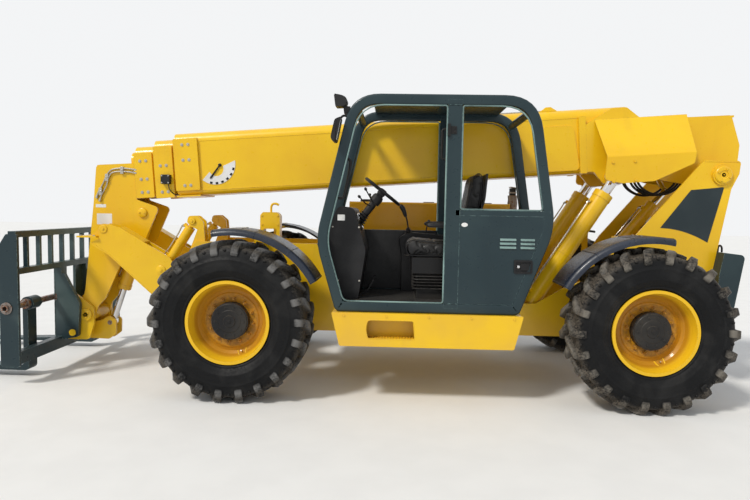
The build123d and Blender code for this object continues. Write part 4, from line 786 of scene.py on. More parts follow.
class Finishes:
    """All the finishes of the machine, made once."""

    def __init__(self) -> None:
        """Build every material."""
        yellow = dict(colour=(0.86, 0.535, 0.006), faded=(0.80, 0.465, 0.007), worn=(0.20, 0.11, 0.045),
            dusty=0.16)
        green = dict(colour=(0.012, 0.028, 0.035), faded=(0.020, 0.040, 0.046), worn=(0.20, 0.31, 0.30),
            dust=(0.14, 0.15, 0.14), coat=0.14, specular=0.28)
        self.yellow = Enamel("yellow_enamel", **yellow).build()
        pins = ((3.505, 0, 0.520), (3.612, 0, 0.345), (3.326, 0, 0.417))
        self.pinned = Enamel("pinned_enamel", **yellow, wear=0.8, bare=pins, bare_radius=0.024).build()
        self.green = Enamel("green_enamel", **green, dusty=0.12, wear=0.9).build()
        green["faded"] = (0.045, 0.078, 0.080)
        self.carriage = Enamel("carriage_enamel", **green, dusty=0.25, wear=1.0, bare=((3.815, 0, 0.700),),
            bare_radius=0.047).build()
        self.black = Enamel("black_enamel", (0.011, 0.011, 0.012), (0.019, 0.0185, 0.018),
            (0.10, 0.085, 0.07), dusty=0.16, gloss=0.42, coat=0.05, specular=0.2).build()
        self.fender = Moulded("fender_plastic", (0.007, 0.011, 0.021), (0.017, 0.024, 0.041), (0.26, 0.42),
            300.0, 0.0005, 0.06, 0.10, 0.4).build()
        self.tyre = Rubber("tyre_rubber").build()
        self.dusty_tyre = Rubber("dusty_tyre_rubber", rubbed=(0.22, 0.200, 0.170),
            dust=(0.17, 0.143, 0.112)).build()
        self.chrome = Steel("chrome", (0.78, 0.78, 0.79), 0.0, (0.06, 0.14), 0.00004).build()
        self.zinc = Steel("zinc_plate", (0.56, 0.53, 0.47), 0.22).build()
        self.rusty = Steel("rusty_steel", (0.30, 0.27, 0.25), 0.75, (0.4, 0.6)).build()
        self.plastic = Moulded("black_moulding", (0.009, 0.009, 0.010), (0.020, 0.020, 0.021)).build()
        self.hose = Moulded("hose_rubber", (0.010, 0.010, 0.011), (0.022, 0.021, 0.020), (0.42, 0.62),
            700.0, 0.0003, 0.12).build()
        self.vinyl = Moulded("seat_vinyl", (0.010, 0.010, 0.011), (0.026, 0.0255, 0.025), (0.30, 0.46),
            620.0, 0.0006, 0.12).build()
        self.plate = Moulded("blank_plate", (0.80, 0.80, 0.79), (0.66, 0.65, 0.62), (0.30, 0.42), 900.0,
            0.00005, 0.1).build()
        self.panel = Moulded("tower_panel", (0.018, 0.029, 0.034), (0.026, 0.038, 0.043), (0.34, 0.5),
            200.0, 0.0001, 0.15).build()
        # light green for the cab's lips and louvre strips: a painted highlight along those edges, with
        # darker clouds and rubbed edges over it
        self.lip = Enamel("highlight_lip_enamel", (0.23, 0.355, 0.335), (0.055, 0.100, 0.100), (0.40, 0.52, 0.49),
            dusty=0.08, wear=0.6).build()
        self.mat = Moulded("floor_mat", (0.012, 0.012, 0.013), (0.028, 0.027, 0.025), (0.5, 0.7), 260.0,
            0.0006, 0.2).build()
        self.mirror = Lens("mirror_glass", (0.86, 0.88, 0.90), 1.0, 0.03, 20.0, 0.0).build()
        self.lamp = Lens("lamp_glass", (0.80, 0.82, 0.84), 0.6, 0.12).build()
        self.amber = Lens("amber_glass", (0.85, 0.26, 0.02)).build()
        self.red = Lens("red_glass", (0.45, 0.008, 0.010)).build()


# Fasteners

def hexagon(radius: float, height: float) -> tuple[np.ndarray, np.ndarray]:
    """A bolt head on its washer: rings of six corners that step in and up, closed on top.

    Args:
        radius: Corner radius of the head.
        height: Height of the head above its seat.

    Returns:
        Points (u, v, w) and faces of the template.
    """
    t = full_turn(6)[None, :, None]
    rings = spread(((1.42, 0.0), (1.42, 0.2), (1.0, 0.22), (1.0, 0.86), (0.84, 1.0), (0.0, 1.0)))
    r, w = rings[:, 0, None, None] * radius, rings[:, 1, None, None] * height
    points = np.concatenate((r * np.cos(t), r * np.sin(t), w + 0 * t), axis=2)
    return points.reshape(-1, 3), grid_faces(6, 6, False, True)


def bolts(stock: Stock, places: object, normal: object, radius: float = 0.011,
        height: float = 0.009) -> Stock:
    """Put bolt heads at places, all with one normal or with one each.

    Args:
        stock: The stock that they go into.
        places: Where their seats are.
        normal: The way that they stand out.
        radius: Corner radius of a head.
        height: Height of a head.

    Returns:
        The stock.
    """
    where = spread(places).reshape(-1, 3)
    normals = np.broadcast_to(spread(normal), where.shape)
    points, faces = hexagon(radius, height)
    return stock.copies(points, faces, where, frame_about(normals))


# Wheels

@dataclass
class Wheel:
    """One wheel's tyre, nuts, hub cover and valve guard, on its CAD rim."""

    corner: str
    x: float
    side: int
    out: float = 1.0725
    lug_pairs: int = 22
    nut_ring: float = 0.1845
    nuts: int = 12

    @property
    def body(self) -> str:
        """The CAD body that the wheel's pieces ride on."""
        return "wheel_" + self.corner

    @property
    def middle(self) -> np.ndarray:
        """The wheel's centre."""
        return spread((self.x, self.side * self.out, AXLE_Z))

    def carcass(self) -> np.ndarray:
        """The tyre's closed outline (radius, distance outwards from its middle plane)."""
        half = spread(mm(((322.5, 146), (332, 150), (344, 158), (356, 176), (366, 187), (374, 190),
            (381, 188), (392, 196), (410, 206), (430, 214), (436.5, 218.5), (441.5, 218.5), (448, 217.5),
            (470, 220.5), (495, 220.5), (515, 217.5), (520.5, 220), (526, 219.5), (532, 214.5), (556, 209),
            (582, 203), (606, 193), (624, 178), (633.5, 156), (635.5, 120), (636, 60), (636, 0))))
        inner = spread(mm(((345, 135), (470, 200), (600, 165), (615, 0))))
        outer = np.vstack((half, half[-2::-1] * (1, -1)))
        hollow = np.vstack((inner * (1, -1), inner[-2::-1]))
        return np.vstack((outer, hollow))

    def lug(self) -> tuple[np.ndarray, np.ndarray]:
        """One lug of the outer row, at the wheel's own angle zero.

        Its section stands on a line from the sidewall over the shoulder to the tyre's middle. At
        each station the section is the line's point + tangent * w + normal * h.

        Returns:
            Points and faces of the lug.
        """
        # outwards, radius, degrees ahead, half width, depth to the carcass, outward lean
        line = spread(((0.2110, 0.556, 0.0, 0.0250, 0.010, 78), (0.2190, 0.566, 0.0, 0.0280, 0.018, 76),
            (0.2215, 0.585, 0.0, 0.0300, 0.024, 68), (0.2180, 0.612, 0.1, 0.0305, 0.032, 58),
            (0.2060, 0.642, 0.4, 0.0312, 0.040, 46), (0.1900, 0.666, 0.9, 0.0318, 0.045, 28),
            (0.1690, 0.6780, 1.6, 0.0320, 0.045, 8), (0.1350, 0.6794, 3.0, 0.0312, 0.045, 0),
            (0.0850, 0.6794, 5.6, 0.0295, 0.045, 0), (0.0450, 0.6794, 7.8, 0.0282, 0.045, 0),
            (0.0080, 0.6794, 9.9, 0.0270, 0.045, 0), (0.0050, 0.677, 10.0, 0.0255, 0.042, 0)))
        # share of the half width plus a flare, share of the depth
        section = spread(((1, 0.011, -1), (1, 0.004, -0.72), (1, 0.0, -0.18), (1, -0.002, -0.05),
            (1, -0.008, 0.0), (0.0, 0.0, 0.0)))
        section = np.vstack((section * (-1, -1, 1), section[-2::-1]))
        out, radius, ahead, half, depth, lean = line.T
        lean = np.radians(lean)
        w = section[:, 0] * half[:, None] + section[:, 1]
        h = section[:, 2] * depth[:, None]
        flat = np.sqrt(radius ** 2 - half ** 2)[:, None] + h * np.cos(lean)[:, None]
        angle = np.radians(ahead)[:, None]
        x = flat * np.cos(angle) - w * np.sin(angle)
        z = flat * np.sin(angle) + w * np.cos(angle)
        y = out[:, None] + h * np.sin(lean)[:, None]
        rows = np.stack((x, y, z), axis=-1)
        feet = rows[[0, -1]][:, [0, -1]].mean(axis=1, keepdims=True)
        ends = np.repeat(feet, rows.shape[1], axis=1)
        points = np.concatenate((ends[:1], rows, ends[1:]))
        return points.reshape(-1, 3), grid_faces(*points.shape[:2], False, True)

    def stud(self) -> tuple[np.ndarray, np.ndarray]:
        """A round nub on the shoulder: a quarter-round profile turned about its own normal."""
        t = full_turn(10)[None, :, None]
        a = np.radians(spread((-50, -10, 35, 65, 90)))[:, None, None]
        r, w = 0.0155 * np.cos(a), 0.012 * np.sin(a)
        points = np.concatenate((r * np.cos(t), r * np.sin(t), w + 0 * t), axis=2)
        return points.reshape(-1, 3), grid_faces(5, 10, False, True)

    def turns(self, side: int) -> np.ndarray:
        """Angles of the lugs on one side: the other side's row lies half a pitch away."""
        first = -100.0 + (0.0 if side > 0 else 180.0 / self.lug_pairs)
        return np.radians(first + np.arange(self.lug_pairs) * 360.0 / self.lug_pairs)

    def tyre(self, finish: bpy.types.Material) -> None:
        """Make the tyre and put the lugs' and grooves' values in its mesh.

        Args:
            finish: The rubber.
        """
        middle, stock, profile = self.middle, Stock(), self.carcass()
        t = full_turn(132)[:, None]
        r, w = profile.T
        rings = np.stack((r * np.cos(t), w + 0 * t, r * np.sin(t)), axis=-1) + middle
        stock.grid(rings, True, True)
        for row in (1, -1):
            turn = self.turns(row)
            c, s = np.cos(turn), np.sin(turn)
            zero = 0 * turn
            frames = np.stack((np.stack((c, zero, s), -1), np.stack((zero, zero + row, zero), -1),
                np.stack((-s, zero, c), -1)), axis=1)
            lug, faces = self.lug()
            stock.copies(lug, faces, np.broadcast_to(middle, (len(turn), 3)), frames)
            between = turn + math.pi / self.lug_pairs
            ray = np.stack((np.cos(between), 0 * between, np.sin(between)), -1)
            normal = unit(ray * 0.45 + (0, row * 0.9, 0))
            stud, faces = self.stud()
            stock.copies(stud, faces, middle + ray * 0.604 + (0, row * 0.1945, 0), frame_about(normal))
        piece = stock.piece("rubber_" + self.corner, finish, Slot.TYRE, self.body, smooth=38)
        mesh = piece.data
        off = places_of(mesh) - middle - (Datum.shift, 0, 0)
        radius, out = np.hypot(off[:, 0], off[:, 2]), np.abs(off[:, 1])
        top = np.clip((radius - 0.645) / 0.03, 0, 1)
        wall = np.clip((out - 0.2125) / 0.006, 0, 1) * np.clip((radius - 0.555) / 0.02, 0, 1)
        floor = np.clip((radius - 0.60) / 0.03, 0, 1) * np.clip((0.668 - radius) / 0.02, 0, 1)
        for key, values in (("lug", np.maximum(top, wall)), ("groove", floor)):
            layer = mesh.attributes.new(key, "FLOAT", "POINT")
            layer.data.foreach_set("value", values.astype(np.float32))
        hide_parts("tyre_" + self.corner)

    def trim(self, finishes: Finishes, dish: bpy.types.Material) -> None:
        """Nuts, hub cover, lock ring and valve with its guard.

        Args:
            finishes: The machine's finishes.
            dish: The enamel of this wheel's dish.
        """
        middle, out = self.middle, spread((0, self.side, 0))
        t = full_turn(self.nuts) + 0.13
        ring = np.stack((np.cos(t), 0 * t, np.sin(t)), axis=-1)
        seats = middle + ring * self.nut_ring + out * 0.0465
        nuts = bolts(Stock(), seats, out, 0.0165, 0.020)
        bolts(nuts, seats, out, 0.0075, 0.036)
        # the nuts take the dish's enamel, so they show its painted-shade ochre
        nuts.piece("wheel_nuts_" + self.corner, dish, Slot.YELLOW, self.body)
        hub = Stock().turned(mm(((0, 111.5), (148, 111.5), (148, 117), (143, 121), (96, 121), (92, 124),
            (52, 124), (48, 129), (0, 129))), middle, out, 48)
        t = full_turn(10)
        ring = np.stack((np.cos(t), 0 * t, np.sin(t)), axis=-1)
        bolts(hub, middle + ring * 0.120 + out * 0.1205, out, 0.0085, 0.0065)
        bolts(hub, middle + out * 0.1285, out, 0.015, 0.008)
        hub.piece("hub_cover_" + self.corner, finishes.black, Slot.BLACK, self.body)
        # the dish ring takes the dish's enamel, so it shows its painted-shade ochre
        Stock().turned(mm(((210, 40), (211, 52), (216, 56), (228, 55), (238, 49), (243, 40), (210, 40))),
            middle, out, 72).piece("dish_ring_" + self.corner, dish, Slot.YELLOW, self.body)
        lock = Stock()
        t = np.linspace(0.10, 2 * math.pi - 0.10, 96) - 0.6
        lock.tube(middle + np.stack((0.3285 * np.cos(t), 0 * t + self.side * 0.1845, 0.3285 * np.sin(t)),
            -1), 0.0058, 8)
        lock.piece("lock_ring_" + self.corner, finishes.yellow, Slot.YELLOW, self.body)
        angle = math.radians(-110)
        ray = spread((math.cos(angle), 0, math.sin(angle)))
        across = spread((-math.sin(angle), 0, math.cos(angle)))
        foot = middle + ray * 0.262 + out * 0.044
        guard = Stock()
        arch = [foot - across * 0.038, foot - across * 0.030 + ray * 0.030 + out * 0.034,
            foot - across * 0.012 + ray * 0.050 + out * 0.048, foot + across * 0.012 + ray * 0.050
            + out * 0.048, foot + across * 0.030 + ray * 0.030 + out * 0.034, foot + across * 0.038]
        guard.tube(smooth_path(arch, 6), 0.0058, 8)
        guard.piece("valve_guard_" + self.corner, finishes.yellow, Slot.YELLOW, self.body)
        valve = Stock().tube(smooth_path([foot + ray * 0.010 - out * 0.004,
            foot + ray * 0.018 + out * 0.022, foot + ray * 0.004 + out * 0.042], 5), 0.0042, 8)
        valve.piece("valve_" + self.corner, finishes.zinc, Slot.BLACK, self.body)

    def build(self, finishes: Finishes) -> None:
        """Make every piece of the wheel and finish its CAD rim.

        Args:
            finishes: The machine's finishes.
        """
        dish = DishEnamel("wheel_enamel_" + self.corner, (self.x, 0.0, AXLE_Z)).build()
        self.tyre(finishes.tyre if self.x > 0 else finishes.dusty_tyre)
        self.trim(finishes, dish)
        dress(dish, "rim_" + self.corner)


def dress(finish: bpy.types.Material, *nodes: str) -> None:
    """Give CAD nodes a finish in every material slot.

    Args:
        finish: The material.
        nodes: Names of the nodes.
    """
    known = frame["nodes"]
    for name in nodes:
        node = known[name]
        if not node.material_slots:
            node.data.materials.append(finish)
        for slot in node.material_slots:
            slot.link = "OBJECT"
            slot.material = finish
        LOG.info("%s: %s", name, finish.name)


# Studio

@dataclass
class Studio:
    """Floor, light and the camera, at the photograph's angle."""

    eye: tuple[float, float, float] = (0.387, 5.995, 1.629)
    yaw: float = 1.97
    pitch: float = 3.89
    roll: float = 1.05
    focal: float = 587.8 / 750 * 36
    floor_colour: Colour = (0.80, 0.80, 0.79)
    floor_reach: float = 45
    sun_ray: tuple[float, float, float] = (-0.52, -0.55, -0.80)

    def camera(self) -> None:
        """Set the camera by its ray, its level side and its roll."""
        yaw, pitch, roll = (math.radians(a) for a in (self.yaw, self.pitch, self.roll))
        ahead = spread((math.sin(yaw) * math.cos(pitch), -math.cos(yaw) * math.cos(pitch),
            -math.sin(pitch)))
        right = unit(np.cross(ahead, (0, 0, 1)))
        up = np.cross(right, ahead)
        c, s = math.cos(roll), math.sin(roll)
        right, up = right * c + up * s, -right * s + up * c
        lens = bpy.data.cameras.new("camera")
        lens.sensor_width, lens.lens, lens.sensor_fit = 36.0, self.focal, "HORIZONTAL"
        lens.clip_end = 200.0
        camera = placed("camera", lens)
        camera.matrix_world = stance(right, up, -ahead, spread(self.eye) + (Datum.shift, 0, 0))
        bpy.context.scene.camera = camera

    def floor(self) -> None:
        """A wide pale floor with a faint grain."""
        mesh = bpy.data.meshes.new("floor")
        reach = self.floor_reach
        corners = [(-reach, -reach, 0), (reach, -reach, 0), (reach, reach, 0), (-reach, reach, 0)]
        mesh.from_pydata(corners, [], [(0, 1, 2, 3)])
        floor = placed("floor", mesh)
        g = Graph("floor")
        colour = g.mix(g.span(g.noise(3.0, 6.0), 0.3, 0.7), self.floor_colour,
            tuple(c * 0.965 for c in self.floor_colour))
        mesh.materials.append(g.finish(colour, 0.85))

    def light(self) -> None:
        """A pale surround and a soft sun from ahead, above and the cab's side."""
        scene = bpy.context.scene
        scene.view_settings.view_transform = "Standard"
        world = bpy.data.worlds.new("surround")
        scene.world = world
        world.use_nodes = True
        tree = world.node_tree
        surround = tree.nodes["Background"]
        surround.inputs["Color"].default_value = (0.93, 0.96, 1.0, 1.0)
        surround.inputs["Strength"].default_value = 0.62
        seen = tree.nodes.new("ShaderNodeBackground")
        seen.inputs["Color"].default_value = (0.90, 0.91, 0.92, 1.0)
        rays = tree.nodes.new("ShaderNodeLightPath").outputs
        most, clear = (tree.nodes.new("ShaderNodeMath") for _ in range(2))
        most.operation = clear.operation = "MAXIMUM"
        mix = tree.nodes.new("ShaderNodeMixShader")
        for start, end in ((rays["Is Camera Ray"], most.inputs[0]), (rays["Is Glossy Ray"],
                clear.inputs[0]), (rays["Is Transmission Ray"], clear.inputs[1]),
                (clear.outputs[0], most.inputs[1]), (most.outputs[0], mix.inputs["Fac"]),
                (surround.outputs[0], mix.inputs[1]), (seen.outputs[0], mix.inputs[2]),
                (mix.outputs[0], tree.nodes["World Output"].inputs["Surface"])):
            tree.links.new(start, end)
        sun = bpy.data.lights.new("sun", "SUN")
        sun.energy, sun.angle, sun.color = 2.3, math.radians(9), (1.0, 0.96, 0.89)
        ray = unit(spread(self.sun_ray))
        placed("sun", sun).matrix_world = stance(*frame_about(-ray[None])[0])

    def build(self) -> None:
        """Make the camera, the floor and the light."""
        self.camera()
        self.floor()
        self.light()


# Lines, hoses and welds

def line_set(stock: Stock, path: object, radius: float = 0.008, steps: int = 7) -> Stock:
    """Put in a steel line with a nut and a sleeve at each end.

    Args:
        stock: The stock that it goes into.
        path: Points that its middle passes through.
        radius: Its radius.
        steps: Parts that each run is divided into.

    Returns:
        The stock.
    """
    way = smooth_path(path, steps)
    stock.tube(way, radius, 10)
    for here, there in ((way[0], way[1]), (way[-1], way[-2])):
        run = unit(there - here)
        stock.turned(((0, -0.002), (radius * 1.9, -0.002), (radius * 2.0, 0.020), (radius * 1.5, 0.024),
            (radius * 1.4, 0.036), (0, 0.036)), here, run, 6)
    return stock


def bead(stock: Stock, path: object, radius: float = 0.0035, pitch: float = 0.006) -> Stock:
    """Put in a weld bead: a bar along a path whose radius ripples with the welder's steps.

    Args:
        stock: The stock that it goes into.
        path: Ends and corners of the weld.
        radius: Its mean radius.
        pitch: Length of one ripple.

    Returns:
        The stock.
    """
    p = spread(path)
    runs = np.linalg.norm(np.diff(p, axis=0), axis=1)
    place = np.concatenate(([0], np.cumsum(runs)))
    count = max(4, int(place[-1] / pitch * 2))
    s = np.linspace(0, place[-1], count)
    way = np.stack([np.interp(s, place, p[:, k]) for k in range(3)], axis=1)
    return stock.tube(way, radius * (1 + 0.16 * np.cos(np.arange(count) * math.pi)), 6)


@dataclass(frozen=True)
class Hose:
    """A hydraulic hose between two fittings on one body, as a smooth spline through space."""

    name: str
    body: str
    route: np.ndarray
    diameter: float = 0.022

    def build(self, finish: bpy.types.Material) -> None:
        """Make the hose as a curve whose control points are the route's, and log its length.

        Args:
            finish: The hose's rubber.
        """
        curve = bpy.data.curves.new(self.name, "CURVE")
        curve.dimensions = "3D"
        spline = curve.splines.new("NURBS")
        spline.points.add(len(self.route) - 1)
        places = spread(self.route) + (Datum.shift, 0, 0)
        spline.points.foreach_set("co", np.column_stack((places, np.ones(len(places)))).ravel())
        spline.order_u, spline.use_endpoint_u, spline.resolution_u = 3, True, 10
        hose = placed(self.name, curve)
        bare = bpy.data.meshes.new_from_object(hose)
        length = float(np.linalg.norm(np.diff(places_of(bare), axis=0), axis=1).sum())
        bpy.data.meshes.remove(bare)
        curve.bevel_depth, curve.bevel_resolution, curve.use_fill_caps = self.diameter / 2, 3, True
        curve.materials.append(finish)
        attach(hose, self.body)
        LOG.info("%s: hose of %.2f m on %s", self.name, length, self.body)


# Boom

@dataclass
class Boom:
    """Collar bolts, welds, the angle gauge and the lines on the boom's sections."""

    half: float = 0.200

    def collars(self, finishes: Finishes) -> None:
        """Pairs of pad bolts and the welds behind each nose collar."""
        # body, tube half width, collar half width, its low and high edge, from, to, bolts' heights
        rows = (("boom", 0.200, 0.226, 0.150, 0.660, 4.925, 5.165, (0.20, 0.45, 0.60)),
            ("second_section", 0.172, 0.206, 0.092, 0.600, 5.190, 5.378, (0.15, 0.41)),
            ("third_section", 0.146, 0.182, 0.104, 0.548, 5.405, 5.588, (0.16, 0.29, 0.47)))
        for body, half, collar_half, low, high, start, end, heights in rows:
            middle = (start + end) / 2
            along = np.tile((middle - 0.03, middle + 0.03), len(heights))
            up = np.repeat(heights, 2)
            heads, welds = Stock(), Stock()
            for side in (-1, 1):
                bolts(heads, Datum.on_boom(along, side * collar_half, up), (0, side, 0), 0.012, 0.009)
                y = side * (half + 0.001)
                bead(welds, Datum.on_boom((start, start), y, (low + 0.01, high)))
                bead(welds, Datum.on_boom((start, end), y, (high, high)))
            heads.piece("collar_bolts_" + body, finishes.zinc, Slot.YELLOW, body)
            welds.piece("collar_welds_" + body, finishes.yellow, Slot.YELLOW, body)

    def gauge(self, finishes: Finishes) -> None:
        """A crescent scale with dark dashes along its rim and a hanging pointer, its face blank.

        The crescent lies between an arc of the large circle, middle + (-R cos t, R sin t), and an
        arc of the small one, inside it and nearer to its lower end.
        """
        large, small = spread((2.183, 2.054)), spread((2.171, 2.008))
        n = 48
        t, u = np.radians(np.linspace(232, 371, n)), np.radians(np.linspace(206, 382, n))
        outer = large + 0.202 * np.stack((-np.cos(t), np.sin(t)), 1)
        inner = small + 0.073 * np.stack((-np.cos(u), np.sin(u)), 1)
        ring = np.concatenate((outer, inner[::-1]))
        low, high = (np.column_stack((ring[:, 0], np.full(2 * n, y), ring[:, 1]))
            for y in (self.half - 0.001, self.half + 0.004))
        strip = np.stack((np.arange(n - 1), np.arange(1, n), 2 * n - 2 - np.arange(n - 1),
            2 * n - 1 - np.arange(n - 1)), axis=1)
        face = Stock().add(np.vstack((low, high)), np.vstack((strip[:, ::-1], strip + 2 * n)))
        face.add(np.vstack((low, high)), grid_faces(2, 2 * n, False, True))
        face.piece("boom_gauge", finishes.plate, Slot.BLACK, "boom")
        marks = Stock()
        for turn in np.radians((346, 328.5, 311, 293.5, 276, 258.5)):
            ray = spread((-math.cos(turn), math.sin(turn)))
            side = spread((-ray[1], ray[0]))
            marks.slab([large + ray * r + side * w for r, w in mm(((178, -13), (178, 13), (199, 13),
                (199, -13)))], self.half + 0.0035, self.half + 0.0052)
        marks.piece("gauge_marks", finishes.plastic, Slot.BLACK, "boom")
        pivot, tip = spread((2.134, 2.044)), spread((2.224, 1.918))
        run = unit(tip - pivot)
        side = spread((-run[1], run[0]))
        pointer = Stock().turned(button(0.016, 0, 0.014, 0.009, 0.018), (pivot[0], self.half, pivot[1]),
            (0, 1, 0), 16)
        pointer.slab([pivot + side * 0.006, tip + side * 0.009, tip + run * 0.014, tip - side * 0.009,
            pivot - side * 0.006], self.half + 0.007, self.half + 0.011)
        pointer.piece("gauge_pointer", finishes.black, Slot.BLACK, "boom")

    def switch_box(self, finishes: Finishes) -> None:
        """Length switch on the second collar, with its lead into the section."""
        box = Stock().slab(pane(2.618, 1.848, 2.708, 1.940, 0.008), 0.205, 0.262)
        box.piece("length_switch", finishes.plastic, Slot.PLASTIC, "second_section", bevel=0.004)
        cap = Stock()
        bolts(cap, mm(((2630, 262, 1860), (2696, 262, 1860), (2630, 262, 1928), (2696, 262, 1928))),
            (0, 1, 0), 0.006, 0.005)
        cap.piece("switch_screws", finishes.zinc, Slot.BLACK, "second_section")
        Hose("switch_lead", "second_section", mm(((2640, 232, 1850), (2636, 233, 1812), (2620, 226, 1778),
            (2592, 212, 1752), (2560, 192, 1742), (2535, 170, 1748), (2524, 150, 1772))),
            0.010).build(finishes.hose)

    def top_lines(self, finishes: Finishes) -> None:
        """Lines along the outer section's rear top, in clamps, between two lugs."""
        lines, clamps = Stock(), Stock()
        for y in (-0.045, -0.015, 0.015, 0.045):
            line_set(lines, Datum.on_boom((1.50, 1.58, 1.90, 2.30, 2.62, 2.70), y, (0.729, 0.737, 0.738,
                0.738, 0.737, 0.729)), 0.0080)
        for along in (1.66, 2.10, 2.54):
            c = Datum.on_boom(along, 0.0, 0.722)
            clamps.box((c[0] - 0.02, -0.072, c[2] - 0.004), (c[0] + 0.02, 0.072, c[2] + 0.030))
            bolts(clamps, [(c[0], y, c[2] + 0.030) for y in (-0.06, 0.0, 0.06)], (0, 0, 1), 0.008, 0.007)
        lines.piece("boom_top_lines", finishes.zinc, Slot.BLACK, "boom")
        clamps.piece("boom_top_clamps", finishes.yellow, Slot.YELLOW, "boom", bevel=0.002)
        lugs = Stock()
        for along, tall in ((1.48, 0.042), (2.02, 0.062)):
            for y in (-0.14, 0.10):
                foot = Datum.on_boom(spread((-0.09, 0.09, 0.05, 0.02, -0.03, -0.06)) + along, 0.0,
                    spread((0, 0, 0.5, 1, 1, 0.5)) * tall + 0.718)
                lugs.slab(foot[:, [0, 2]], y, y + 0.04)
        lugs.piece("boom_lift_lugs", finishes.yellow, Slot.YELLOW, "boom", bevel=0.003)

    def seams(self, finishes: Finishes) -> None:
        """Long corner welds of the outer section, its doublers' welds and the tail's bolts."""
        welds = Stock()
        for side in (-1, 1):
            y = side * self.half
            bead(welds, Datum.on_boom((1.22, 4.92), y, (0.146, 0.146)), 0.003, 0.012)
            bead(welds, Datum.on_boom((1.22, 4.92), y * 0.999, (0.630, 0.630)), 0.003, 0.012)
            outline = rounded(mm(((1210, 130, 40), (1530, 130, 40), (1560, 560, 40), (1260, 560, 60))), 4)
            path = Datum.on_boom(outline[:, 0], side * 0.200, outline[:, 1])
            bead(welds, np.vstack((path, path[:1])), 0.0045, 0.006)
        welds.piece("boom_welds", finishes.yellow, Slot.YELLOW, "boom")
        heads = Stock()
        for side in (-1, 1):
            bolts(heads, Datum.on_boom((0.78, 0.98, 0.78, 0.98), side * 0.450, (-0.005, -0.005, 0.17,
                0.17)), (0, side, 0), 0.013, 0.010)
        heads.piece("shroud_bolts", finishes.yellow, Slot.YELLOW, "boom")

    def build(self, finishes: Finishes) -> None:
        """Make all of the boom's pieces."""
        self.collars(finishes)
        self.gauge(finishes)
        self.switch_box(finishes)
        self.top_lines(finishes)
        self.seams(finishes)


@dataclass
class Head:
    """Plates, lines and pins on the drooping head and the coupler."""

    out: float = 0.160

    def plates(self, finishes: Finishes) -> None:
        """Blank white plates on the head's side."""
        plates = Stock()
        for x0, x1, z0, z1 in mm(((3245, 3400, 1435, 1545), (3305, 3410, 1605, 1638))):
            plates.slab(pane(x0, z0, x1, z1, 0.004), self.out - 0.0005, self.out + 0.0012)
        plates.piece("head_plates", finishes.plate, Slot.BLACK, "fly_section")

    def lines(self, finishes: Finishes) -> None:
        """Steel lines over the head's side, with their clamps."""
        lines = Stock()
        for drop, y in ((0.0, self.out + 0.011), (0.032, self.out + 0.013)):
            line_set(lines, ((2.985, y, 1.985 - drop), (3.10, y, 1.998 - drop), (3.225, y, 1.988 - drop),
                (3.285 - drop / 2, y, 1.935 - drop), (3.325 - drop, y, 1.850 - drop),
                (3.375 - drop, y, 1.760 - drop), (3.395 - drop, y, 1.700 - drop)), 0.0075)
        lines.piece("head_lines", finishes.zinc, Slot.BLACK, "fly_section")
        clamps = Stock()
        for x, z in ((3.13, 1.980), (3.285, 1.905), (3.352, 1.765)):
            clamps.box((x - 0.016, self.out - 0.001, z - 0.036), (x + 0.016, self.out + 0.024, z + 0.036))
            bolts(clamps, [(x, self.out + 0.024, z)], (0, 1, 0), 0.008, 0.007)
        clamps.piece("head_clamps", finishes.zinc, Slot.BLACK, "fly_section", bevel=0.003)

    def pins(self, finishes: Finishes) -> None:
        """Keeper plates, grease nipples and a bored hole's ring at the pins."""
        keepers = Stock()
        for side in (-1, 1):
            y = side * (self.out + 0.012)
            keepers.turned(button(0.046, -0.004, 0.006, 0.040, 0.010), (2.930, y, 1.560), (0, side, 0), 28)
            bolts(keepers, [(2.930 + dx, y + side * 0.010, 1.560 + dz) for dx,
                dz in ((0.026, 0), (-0.026, 0))], (0, side, 0), 0.009, 0.008)
        keepers.piece("tilt_pin_keepers", finishes.yellow, Slot.YELLOW, "fly_section")
        caps = Stock()
        for side in (-1, 1):
            y = side * 0.200
            caps.turned(button(0.050, -0.003, 0.008, 0.044, 0.012), (3.505, y, 0.520), (0, side, 0), 32)
            bolts(caps, [(3.505 + 0.03 * math.cos(a), y + side * 0.012, 0.520 + 0.03 * math.sin(a))
                for a in (0.5, 2.6, 4.7)], (0, side, 0), 0.008, 0.007)
            caps.turned(mm(((0, 0), (5, 0), (5, 6), (3, 10), (0, 12))), (3.505, y + side * 0.012, 0.520),
                (0, side, 0), 8)
            caps.turned(button(0.034, -0.003, 0.006), (3.612, side * 0.265, 0.345), (0, side, 0), 20)
        caps.piece("coupler_pin_caps", finishes.yellow, Slot.YELLOW, "carriage")

    def build(self, finishes: Finishes) -> None:
        """Make all of the head's pieces."""
        self.plates(finishes)
        self.lines(finishes)
        self.pins(finishes)


